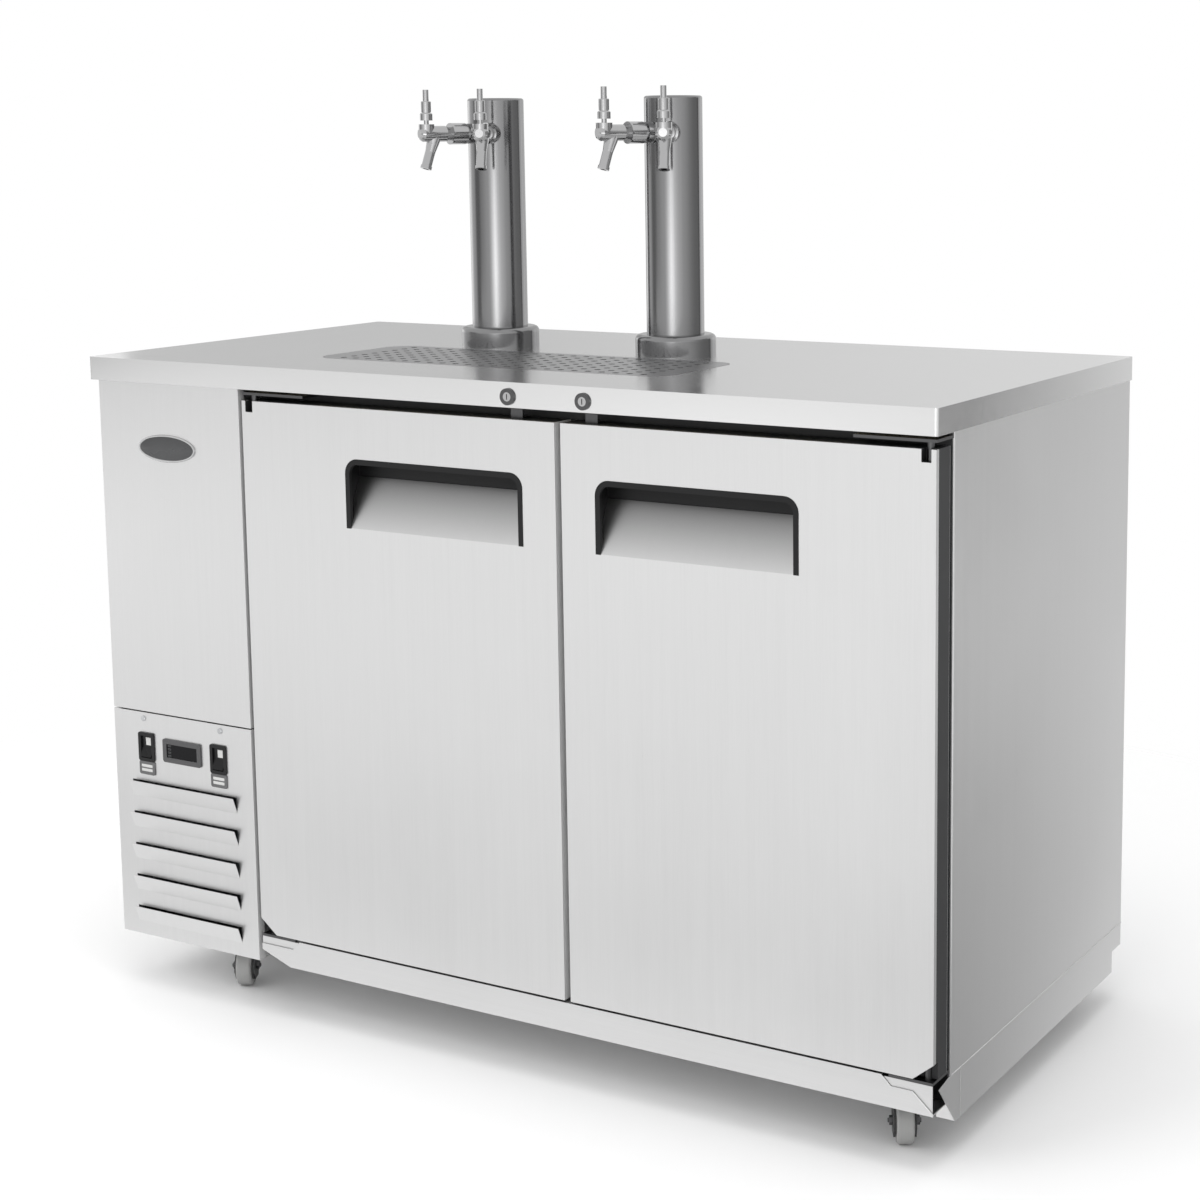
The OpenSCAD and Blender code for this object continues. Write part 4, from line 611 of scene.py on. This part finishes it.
def gloss_window(name):
    """Dark gloss window of the controller."""
    material, tree, shader = new_material(name, WINDOW_ROUGHNESS)
    shader.inputs["Specular IOR Level"].default_value = WINDOW_SHEEN
    shader.inputs["Coat Weight"].default_value = WINDOW_COAT
    shader.inputs["Coat Roughness"].default_value = WINDOW_COAT_ROUGHNESS
    clouds = use(tree, MARKS, Scale=70.0, Strength=1.0)
    tree.links.new(tinted(tree, WINDOW_BLACK, clouds["Shade"]), shader.inputs["Base Color"])
    tree.links.new(reckon(tree, "ADD", clouds["Roughness"], WINDOW_ROUGHNESS), shader.inputs["Roughness"])
    return material


# Stretch of the grain along X, Y and Z: high across the scratches, low along them
UPRIGHT = (900, 900, 14)
LENGTHWISE = (12, 900, 900)
DRAWN = (700, 700, 6)
EVEN = (420, 420, 420)

satin = brushed_metal("satin steel, upright grain", SATIN_STEEL, SATIN_ROUGHNESS, UPRIGHT)
panel_sheet = brushed_metal("satin panel sheet", SATIN_STEEL, SATIN_ROUGHNESS, UPRIGHT,
                            painted_pale_beyond=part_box("service_panel")[1].x - EDGE_REACH)
left_sheet = recessed_sheet("satin left door sheet", "left", SATIN_STEEL, SATIN_ROUGHNESS, UPRIGHT)
right_sheet = recessed_sheet("satin right door sheet", "right", SATIN_STEEL, SATIN_ROUGHNESS, UPRIGHT)
satin_long = brushed_metal("satin steel, long grain", SATIN_STEEL, SATIN_ROUGHNESS, LENGTHWISE)
worktop_finish = brushed_metal("worktop steel", SATIN_STEEL, 0.20, LENGTHWISE, grain=0.7, marks=0.8)
well_finish = brushed_metal("drip well steel", DRIP_STEEL, 0.32, LENGTHWISE)
polished = brushed_metal("polished steel", POLISHED_STEEL, 0.14, DRAWN, grain=0.35, marks=0.5)
turned = brushed_metal("turned steel", TURNED_STEEL, 0.13, EVEN, grain=0.35, marks=0.6)
dark_steel = brushed_metal("dark steel", DARK_STEEL, 0.34, EVEN, grain=0.5, marks=0.8)
zinc = zinc_plated("zinc plate", ZINC, 0.34, scale=180.0)
galvanised = zinc_plated("galvanised sheet", ZINC, 0.38, scale=70.0)
stucco = stucco_alloy("embossed liner", LINER_ALLOY, 0.34, scale=130.0)
fins = brushed_metal("fin sheet", FIN_ALLOY, 0.40, UPRIGHT, marks=1.2)
handle_plastic = moulded("handle plastic", HANDLE_BLACK, 0.46, sheen=LOW_SHEEN)
frame_plastic = moulded("frame plastic", EDGE_GREY, 0.50)
switch_plastic = moulded("switch plastic", SWITCH_BLACK, 0.30, pebble=2600.0, sheen=LOW_SHEEN)
bezel_plastic = moulded("bezel plastic", BEZEL_GREY, 0.35, pebble=2600.0)
left_edges = door_edges("left door edges", "left")
right_edges = door_edges("right door edges", "right")
window = gloss_window("controller window")
gasket_rubber = moulded("gasket rubber", GASKET_GREY, 0.55, dust=0.25)
fork_paint = moulded("fork paint", FORK_BLACK, 0.42, dust=0.35, wear=0.6)
machine_paint = moulded("machine paint", FORK_BLACK, 0.38, dust=0.6, wear=0.3)
tread = moulded("wheel tread", TREAD_GREY, 0.55, dust=0.2)
fan_plastic = moulded("fan plastic", EDGE_GREY, 0.45, dust=0.3)
foam = moulded("rigid foam", FOAM_CREAM, 0.8)
badge_enamel = moulded("badge enamel", BADGE_GREY, 0.28, pebble=2200.0)
legend_plastic = moulded("legend plastic", LEGEND_GREY, 0.4, pebble=2200.0)
# Paint of the printed marks and of the painted highlight on each rocker
mark_and_highlight_paint = moulded("mark and highlight paint", MARK_AND_HIGHLIGHT_WHITE, 0.45, pebble=2200.0)
inner_plastic = moulded("inner door plastic", LINER_WHITE, 0.42, pebble=900.0)


def dress(material, *names):
    """Gives CAD nodes their finish."""
    for name in names:
        slots = nodes[name].data.materials
        slots.clear()
        slots.append(material)


def soften(width, *names):
    """Rounds the sharp edges of CAD nodes with modifiers; flat sheets get whole faces first."""
    for name in names:
        piece = nodes[name]
        piece.modifiers.new("joined faces", "WELD").merge_threshold = WELD_REACH
        if name in FLAT_SHEETS:
            flat = piece.modifiers.new("whole flats", "DECIMATE")
            flat.decimate_type = "DISSOLVE"
            flat.angle_limit = FLAT_ANGLE
        edge = piece.modifiers.new("rounded edges", "BEVEL")
        edge.width = width
        edge.segments = 2
        edge.limit_method = "ANGLE"
        edge.angle_limit = SHARP_ANGLE
        edge.use_clamp_overlap = True
        piece.modifiers.new("flat faces", "WEIGHTED_NORMAL").keep_sharp = True


levers = [f"tap_lever_{i}" for i in range(1, 5)]
casters = [f"{end}_{side}" for end in ENDS for side in SIDES]
dress(satin, "side_panels")
dress(panel_sheet, "service_panel", "louvre_panel")
dress(left_sheet, "left_door_skin")
dress(right_sheet, "right_door_skin")
dress(satin_long, "base_strip", "base_frame")
dress(worktop_finish, "worktop")
dress(well_finish, "drip_well", "drip_plate")
dress(polished, "tower_columns", "tower_flanges", "tower_caps")
dress(turned, "shanks", "coupling_nuts", "tap_bodies", "left_lock_plug", "right_lock_plug", *levers)
dress(dark_steel, "hinge_brackets", "left_keeper", "right_keeper", "lock_barrels")
dress(zinc, "panel_screws", "caster_plates")
dress(galvanised, "back_panel", "evaporator_housing")
dress(stucco, "liner")
dress(fins, "condenser", "evaporator_coil")
dress(foam, "insulation", "worktop_filler")
dress(frame_plastic, "front_frame")
dress(left_edges, "left_door_core")
dress(right_edges, "right_door_core")
dress(gasket_rubber, "left_door_gasket", "right_door_gasket")
dress(handle_plastic, "left_handle_cup", "right_handle_cup")
dress(switch_plastic, "switch_frames", "left_rocker", "right_rocker")
dress(bezel_plastic, "controller_bezel")
dress(window, "controller_window")
dress(fan_plastic, "condenser_fan", "evaporator_fan", "fan_shroud")
dress(machine_paint, "compressor", "fan_motors")
dress(fork_paint, *[f"fork_{name}" for name in casters])
dress(tread, *[f"wheel_{name}" for name in casters])

soften(WORKTOP_ROUNDING, "worktop")
soften(SHEET_ROUNDING, "service_panel", "louvre_panel", "left_door_skin", "right_door_skin", "base_strip",
       "side_panels", "base_frame")
soften(FITTING_ROUNDING, "hinge_brackets", "switch_frames", "left_rocker", "right_rocker", "controller_bezel",
       "left_handle_cup", "right_handle_cup", "front_frame", "left_door_core", "right_door_core")


def turns(steps):
    """Angles of one whole turn."""
    return [math.tau * i / steps for i in range(steps)]


def drawn_in(size, inset):
    """Width and height less an inset in millimetres all round."""
    return [length - 2 * inset * MM for length in size]


def oval(middle, width, height, y):
    """Loop of points of an oval that faces the front."""
    return [Vector((middle[0] + width / 2 * math.cos(a), y, middle[1] + height / 2 * math.sin(a)))
            for a in turns(OVAL_STEPS)]


def rounded(middle, width, height, corner, y):
    """Loop of points of a rounded rectangle that faces the front."""
    points = []
    for quarter, (side, rise) in enumerate(((1, 1), (-1, 1), (-1, -1), (1, -1))):
        for i in range(CORNER_STEPS + 1):
            a = math.radians(90 * (quarter + i / CORNER_STEPS))
            points.append(Vector((middle[0] + side * (width / 2 - corner) + corner * math.cos(a), y,
                                  middle[1] + rise * (height / 2 - corner) + corner * math.sin(a))))
    return points


def rectangle(low, high, inset, y):
    """Four corners of an upright rectangle, drawn in by an inset."""
    return [Vector((x, y, z)) for x, z in ((low.x + inset, low.z + inset), (high.x - inset, low.z + inset),
                                           (high.x - inset, high.z - inset), (low.x + inset, high.z - inset))]


def loft(form, loops, joined=False):
    """Faces from loop to loop; joined closes the last on the first, or else the two ends are filled."""
    rows = [[form.verts.new(point) for point in loop] for loop in loops]
    pairs = list(zip(rows, rows[1:]))
    if joined:
        pairs.append((rows[-1], rows[0]))
    for low, high in pairs:
        for i in range(len(low)):
            j = (i + 1) % len(low)
            form.faces.new((low[i], low[j], high[j], high[i]))
    if not joined:
        form.faces.new(rows[0])
        form.faces.new(rows[-1])


def turned_form(form, section, at, along, steps):
    """A section of radius and height in millimetres, turned about an axis; six steps make a hexagon."""
    aim = Vector(along).to_track_quat("Z", "Y").to_matrix()
    rows = [[aim @ Vector((radius * MM * math.cos(a), radius * MM * math.sin(a), height * MM)) + Vector(at)
             for a in turns(steps)] for radius, height in section if radius > 0]
    loft(form, rows)


def wire_ring(form, at, along, radius, wire, steps):
    """Ring of round wire about an axis."""
    aim = Vector(along).to_track_quat("Z", "Y").to_matrix()
    loops = []
    for b in turns(WIRE_STEPS):
        reach = radius + wire * math.cos(b)
        rise = wire * math.sin(b)
        loops.append([aim @ Vector((reach * math.cos(a), reach * math.sin(a), rise)) + Vector(at)
                      for a in turns(steps)])
    loft(form, loops, joined=True)


def stand(name, data):
    """A new object in the scene."""
    made = bpy.data.objects.new(name, data)
    bpy.context.scene.collection.objects.link(made)
    return made


def fit(name, form, body, material, sharp=35):
    """Turns a form into a piece that rides on a body; edges are sharp above an angle in degrees."""
    bmesh.ops.recalc_face_normals(form, faces=form.faces)
    mesh = bpy.data.meshes.new(name)
    form.to_mesh(mesh)
    form.free()
    mesh.materials.append(material)
    mesh.polygons.foreach_set("use_smooth", [True] * len(mesh.polygons))
    mesh.set_sharp_from_angle(angle=math.radians(sharp))
    made = stand(name, mesh)
    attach(made, body)
    return made


def make_badge():
    """Bare oval badge: a bright rim round a domed dark field."""
    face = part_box("service_panel")[0].y
    for name, section, slot, material in (("badge_rim", BADGE_RIM, "polished_steel", turned),
                                          ("badge_field", BADGE_FIELD, "dark_plastic", badge_enamel)):
        form = bmesh.new()
        loft(form, [oval(BADGE_MIDDLE, *drawn_in(BADGE_SIZE, inset), face - rise * MM)
                    for inset, rise in section])
        fit(name, form, "cabinet", material)


def make_legends():
    """Plate with two pale bars under each switch."""
    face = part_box("louvre_panel")[1].y - PANEL_FOLD
    for side in SIDES:
        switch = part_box(f"{side}_rocker")
        middle_x = (switch[0].x + switch[1].x) / 2
        middle = (middle_x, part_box("switch_frames")[0].z - LEGEND_SIZE[1] / 2)
        form = bmesh.new()
        loft(form, [rounded(middle, *drawn_in(LEGEND_SIZE, inset), LEGEND_CORNER, face - rise * MM)
                    for inset, rise in LEGEND_SECTION])
        fit(f"{side}_legend_plate", form, "cabinet", legend_plastic)
        form = bmesh.new()
        for offset in (-1, 1):
            bar_at = (middle[0], middle[1] + offset * BAR_SPREAD * BAR_SIZE[1])
            loft(form, [rounded(bar_at, *drawn_in(BAR_SIZE, inset), BAR_CORNER, face - rise * MM)
                        for inset, rise in BAR_SECTION])
        fit(f"{side}_legend_windows", form, "cabinet", mark_and_highlight_paint)


def make_keys():
    """Column of small keys beside the controller's display."""
    low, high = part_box("controller_window")
    form = bmesh.new()
    pitch = (high.z - low.z) / KEY_COUNT
    for i in range(KEY_COUNT):
        middle = (low.x + KEY_COLUMN / 2, low.z + (i + 0.5) * pitch)
        loft(form, [rounded(middle, *drawn_in(KEY_SIZE, inset), KEY_CORNER, low.y - rise * MM)
                    for inset, rise in KEY_SECTION])
    fit("controller_keys", form, "cabinet", frame_plastic)


def make_rocker_highlights():
    """Pale patch on the upper end of each rocker, laid on its face: a painted highlight."""
    across = Vector((1, 0, 0))
    for side in SIDES:
        name = f"{side}_rocker"
        low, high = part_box(name)
        start = Vector(((low.x + high.x) / 2 + HIGHLIGHT_OFFSET, low.y - HIGHLIGHT_SEARCH,
                        low.z + HIGHLIGHT_HEIGHT * (high.z - low.z)))
        _, middle, normal, _ = nodes[name].ray_cast(start, Vector((0, 1, 0)))
        up = normal.cross(-across).normalized()
        form = bmesh.new()
        # The pale patch is a painted highlight
        loft(form, [[middle + s * width / 2 * across + r * height / 2 * up + rise * normal
                     for s, r in ((-1, -1), (1, -1), (1, 1), (-1, 1))]
                    for rise, (width, height) in ((-HIGHLIGHT_RISE, HIGHLIGHT_SIZE),
                                                  (HIGHLIGHT_RISE, drawn_in(HIGHLIGHT_SIZE, HIGHLIGHT_TAPER)))])
        fit(f"{side}_rocker_highlight", form, name, mark_and_highlight_paint)


def make_handle_trims():
    """Black trim round the sides and the top of each handle recess."""
    for side in SIDES:
        low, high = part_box(f"{side}_handle_cup")
        left, right = low.x + CUP_WALL, high.x - CUP_WALL
        bottom, top = low.z + CUP_WALL, high.z - CUP_WALL - FINGER_RISE
        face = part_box(f"{side}_door_skin")[0].y
        front, back = (face + depth for depth in TRIM_DEPTH)
        path = [((left, bottom), (left + TRIM_WIDTH, bottom))]
        for middle_x, first in ((left + TRIM_CORNER, 180), (right - TRIM_CORNER, 90)):
            for i in range(TRIM_STEPS + 1):
                a = math.radians(first - 90 * i / TRIM_STEPS)
                path.append([(middle_x + reach * math.cos(a), top - TRIM_CORNER + reach * math.sin(a))
                             for reach in (TRIM_CORNER, TRIM_CORNER - TRIM_WIDTH)])
        path.append(((right, bottom), (right - TRIM_WIDTH, bottom)))
        form = bmesh.new()
        loft(form, [[Vector((outer[0], front, outer[1])), Vector((inner[0], front, inner[1])),
                     Vector((inner[0], back, inner[1])), Vector((outer[0], back, outer[1]))]
                    for outer, inner in path])
        fit(f"{side}_handle_trim", form, f"{side}_door", handle_plastic)


def make_door_linings():
    """Bellows gasket and pressed inner panel of each door."""
    for side in SIDES:
        low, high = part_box(f"{side}_door_gasket")
        section = [(inset * MM, rise * MM) for inset, rise in GASKET_SECTION]
        section += [(GASKET_WIDTH - inset, rise) for inset, rise in reversed(section)]
        form = bmesh.new()
        loft(form, [rectangle(low, high, inset, low.y + rise) for inset, rise in section], joined=True)
        gasket = fit(f"{side}_bellows_gasket", form, f"{side}_door", gasket_rubber, GASKET_SHARP)
        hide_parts(f"{side}_door_gasket")
        form = bmesh.new()
        loft(form, [rectangle(low, high, GASKET_WIDTH + inset * MM, low.y + rise * MM)
                    for inset, rise in INNER_PANEL])
        panel = fit(f"{side}_inner_panel", form, f"{side}_door", inner_plastic, PANEL_SHARP)
        edge = panel.modifiers.new("rounded folds", "BEVEL")
        edge.width = INNER_FOLD
        edge.segments = 3
        edge.angle_limit = INNER_FOLD_ANGLE


def make_fan_guard():
    """Wire rings and spokes in front of the cold fan."""
    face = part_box("evaporator_housing")[1].x
    hub = Vector(joints["evaporator_fan_spin"]["pos_m"])
    middle = Vector((face, hub.y, hub.z))
    along = Vector((1, 0, 0))
    reach = GUARD_RINGS * GUARD_STEP
    form = bmesh.new()
    for i in range(1, GUARD_RINGS + 1):
        wire_ring(form, middle + RING_STAND * along, along, i * GUARD_STEP, GUARD_WIRE,
                  RING_STEPS + STEPS_PER_RING * i)
    for a in turns(GUARD_SPOKES):
        way = Vector((0, math.cos(a), math.sin(a)))
        spoke = ((GUARD_WIRE / MM, 0), (GUARD_WIRE / MM, reach / MM))
        turned_form(form, spoke, middle + SPOKE_STAND * along, way, WIRE_STEPS)
        screw_at = middle + (reach + GUARD_SCREW_REACH) * way
        turned_form(form, WASHER, screw_at, along, WASHER_STEPS)
        turned_form(form, SCREW_HEAD, screw_at, along, HEXAGON)
    fit("cold_fan_guard", form, "cabinet", zinc)


def make_back_screws():
    """Washer-head screws round the edge of the back panel."""
    low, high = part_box("back_panel")
    span = (high.x - low.x - 2 * PANEL_SCREW_INSET, high.z - low.z - 2 * PANEL_SCREW_INSET)
    across, up = (round(length / PANEL_SCREW_PITCH) for length in span)
    places = [(i / across, end) for i in range(across + 1) for end in (0, 1)]
    places += [(end, i / up) for i in range(1, up) for end in (0, 1)]
    form = bmesh.new()
    for a, b in places:
        at = (low.x + PANEL_SCREW_INSET + a * span[0], high.y, low.z + PANEL_SCREW_INSET + b * span[1])
        turned_form(form, WASHER, at, (0, 1, 0), WASHER_STEPS)
        turned_form(form, SCREW_HEAD, at, (0, 1, 0), HEXAGON)
    fit("back_panel_screws", form, "cabinet", zinc)


def make_caster_bolts():
    """Bolts under each caster plate and the nuts on each axle."""
    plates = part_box("caster_plates")
    half = plates[1].x - Vector(joints["fork_front_right_swivel"]["pos_m"]).x - CASTER_BOLT_INSET
    bolts = bmesh.new()
    for name in casters:
        swivel = Vector(joints[f"fork_{name}_swivel"]["pos_m"])
        axle = Vector(joints[f"wheel_{name}_roll"]["pos_m"])
        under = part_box(f"fork_{name}")[1].z + FORK_GAP
        for x, y in ((-1, -1), (1, -1), (1, 1), (-1, 1)):
            bolt_at = (swivel.x + x * half, swivel.y + y * half, under)
            turned_form(bolts, BOLT_HEAD, bolt_at, (0, 0, -1), HEXAGON)
        along = Vector(joints[f"wheel_{name}_roll"]["axis"])
        form = bmesh.new()
        for way in (along, -along):
            turned_form(form, AXLE_NUT, axle + FORK_HALF_WIDTH * way, way, HEXAGON)
        fit(f"axle_nuts_{name}", form, f"fork_{name}", dark_steel)
    fit("caster_bolts", bolts, "cabinet", zinc)


def make_strip_closers():
    """Plates that close the notched ends of the base strip under the lower hinge brackets."""
    low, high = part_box("base_strip")
    bottom, top = low.z + CLOSER_LIFT, high.z - CLOSER_TOP
    left_end, right_end = low.x + CLOSER_LENGTH, high.x - CLOSER_LENGTH
    right = high.x - CLOSER_LIFT
    outlines = {
        "left": ((low.x, low.z + CLOSER_CUT[1]), (low.x + CLOSER_CUT[0], bottom), (left_end, bottom),
                 (left_end, top), (low.x, top)),
        "right": ((right_end, bottom), (right, bottom), (right, top), (right_end, top))}
    for side in SIDES:
        form = bmesh.new()
        loft(form, [[Vector((x, low.y + depth, z)) for x, z in outlines[side]] for depth in CLOSER_DEPTH])
        fit(f"{side}_strip_closer", form, "cabinet", satin_long)


def make_side_folds():
    """Rounded folds of the right side: front edge, joint of panel and rail, and joint in the rail."""
    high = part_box("side_panels")[1]
    bottom, seam = (corner.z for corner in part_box("base_frame"))
    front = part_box("front_frame")[0].y
    fold_at = (high.x - EDGE_FOLD_RADIUS + FOLD_PROUD, front + EDGE_FOLD_RADIUS, seam)
    form = bmesh.new()
    for radius, at, along, length in (
            (EDGE_FOLD_RADIUS, fold_at, (0, 0, 1), high.z - seam),
            (SEAM_FOLD_RADIUS, (high.x, front, seam), (0, 1, 0), high.y - front),
            (SEAM_FOLD_RADIUS, (high.x, front + RAIL_JOINT, bottom), (0, 0, 1), seam - bottom)):
        turned_form(form, ((radius / MM, 0), (radius / MM, length / MM)), at, along, FOLD_STEPS)
    fit("side_folds", form, "cabinet", satin)


make_badge()
make_legends()
make_keys()
make_rocker_highlights()
make_handle_trims()
make_door_linings()
make_fan_guard()
make_back_screws()
make_caster_bolts()
make_strip_closers()
make_side_folds()


def make_stage():
    """Pale floor that fades into the white background."""
    mesh = bpy.data.meshes.new("floor")
    form = bmesh.new()
    bmesh.ops.create_circle(form, cap_ends=True, segments=FLOOR_STEPS, radius=FLOOR_RADIUS)
    form.to_mesh(mesh)
    form.free()
    floor = stand("floor", mesh)
    floor.location.z = cad_low.z - FLOOR_DROP
    material, tree, shader = new_material("pale floor", FLOOR_ROUGHNESS)
    shader.inputs["Base Color"].default_value = (*FLOOR_PALE, 1)
    reach = place(tree, "ShaderNodeVectorMath", {0: own_place(tree)}, operation="LENGTH").outputs["Value"]
    fade = place(tree, "ShaderNodeMapRange",
                 {"Value": reach, "From Min": FLOOR_FADE[0], "From Max": FLOOR_FADE[1]},
                 interpolation_type="SMOOTHSTEP").outputs[0]
    clear = place(tree, "ShaderNodeBsdfTransparent")
    mix = place(tree, "ShaderNodeMixShader", {0: fade, 1: shader.outputs[0], 2: clear.outputs[0]})
    tree.links.new(mix.outputs[0], tree.nodes["Material Output"].inputs["Surface"])
    mesh.materials.append(material)


def studio_card(name, points, greys):
    """Glowing card of two rows of points that only reflections see; each point has its own grey."""
    count = len(points) // 2
    mesh = bpy.data.meshes.new(name)
    mesh.from_pydata(points, [], [(i, i + 1, count + i + 1, count + i) for i in range(count - 1)])
    mesh.attributes.new("grey", "FLOAT", "POINT").data.foreach_set("value", greys)
    card = stand(name, mesh)
    material = bpy.data.materials.new(name)
    material.use_nodes = True
    tree = material.node_tree
    tree.nodes.clear()
    level = place(tree, "ShaderNodeAttribute", attribute_name="grey").outputs["Fac"]
    glow = place(tree, "ShaderNodeEmission", {"Strength": level})
    leave = tree.nodes.new("ShaderNodeOutputMaterial")
    tree.links.new(glow.outputs[0], leave.inputs["Surface"])
    mesh.materials.append(material)
    card.visible_camera = False
    card.visible_diffuse = False
    card.visible_shadow = False
    card.visible_transmission = False


def floor_cloth(name, across, stops):
    """Card that lies on the floor between two rows along Y."""
    points = [(x, stop[row], CLOTH_RISE) for row, x in enumerate(across) for stop in stops]
    studio_card(name, points, [stop[row] for row in (2, 3) for stop in stops])


def card_ring(name, low, high, fade, stops):
    """Upright card round the object."""
    points = []
    for z in (low, high):
        for azimuth, _ in stops:
            a = math.radians(azimuth)
            points.append((CARD_DISTANCE * math.sin(a), -CARD_DISTANCE * math.cos(a), z))
    greys = [grey for _, grey in stops]
    studio_card(name, points, greys + [1 + (grey - 1) * fade for grey in greys])


def make_light():
    """White surround, two soft boxes and the grey cards that the metal reflects."""
    world = bpy.data.worlds.new("studio")
    bpy.context.scene.world = world
    world.use_nodes = True
    tree = world.node_tree
    surround = tree.nodes["Background"]
    path = place(tree, "ShaderNodeLightPath").outputs
    seen = reckon(tree, "MAXIMUM", path["Is Camera Ray"], path["Is Glossy Ray"])
    seen = reckon(tree, "MAXIMUM", seen, path["Is Transmission Ray"])
    surround.inputs["Color"].default_value = (1, 1, 1, 1)
    tree.links.new(ranged(tree, seen, 0.0, 1.0, SURROUND_LIGHT, 1.0), surround.inputs["Strength"])
    for name, lamp_at, aim, size, power in LAMPS:
        lamp = bpy.data.lights.new(name, "AREA")
        lamp.shape = "SQUARE"
        lamp.size = size
        lamp.energy = power
        piece = stand(name, lamp)
        piece.location = lamp_at
        piece.rotation_euler = (Vector(aim) - Vector(lamp_at)).to_track_quat("-Z", "Y").to_euler()
        piece.visible_glossy = False
    for ring in CARD_RINGS:
        card_ring(*ring)
    floor_cloth("right floor cloth", SIDE_CLOTH_X, SIDE_CLOTH)
    floor_cloth("front floor cloth", FRONT_CLOTH_X, [(y, y, grey, grey) for y, grey in FRONT_CLOTH])


def make_camera():
    """Camera at the photograph's angle."""
    azimuth, elevation, roll = (math.radians(a) for a in (CAMERA_AZIMUTH, CAMERA_ELEVATION, CAMERA_ROLL))
    back = Vector((math.sin(azimuth) * math.cos(elevation), -math.cos(azimuth) * math.cos(elevation),
                   math.sin(elevation)))
    right = Vector((math.cos(azimuth), math.sin(azimuth), 0))
    up = back.cross(right)
    level = math.cos(roll) * right + math.sin(roll) * up
    raised = math.cos(roll) * up - math.sin(roll) * right
    lens = bpy.data.cameras.new("camera")
    lens.sensor_width = SENSOR_MM
    lens.lens = FOCAL_PIXELS * SENSOR_MM / PICTURE_PIXELS
    lens.shift_x = 0.5 - CENTRE_PIXELS[0] / PICTURE_PIXELS
    lens.shift_y = CENTRE_PIXELS[1] / PICTURE_PIXELS - 0.5
    camera = stand("camera", lens)
    turn = Matrix((level, raised, back)).transposed().to_4x4()
    camera.matrix_world = Matrix.Translation(Vector(CAMERA_TARGET) + CAMERA_DISTANCE * back) @ turn
    bpy.context.scene.camera = camera


make_stage()
make_light()
make_camera()
bpy.context.scene.view_settings.view_transform = "Standard"
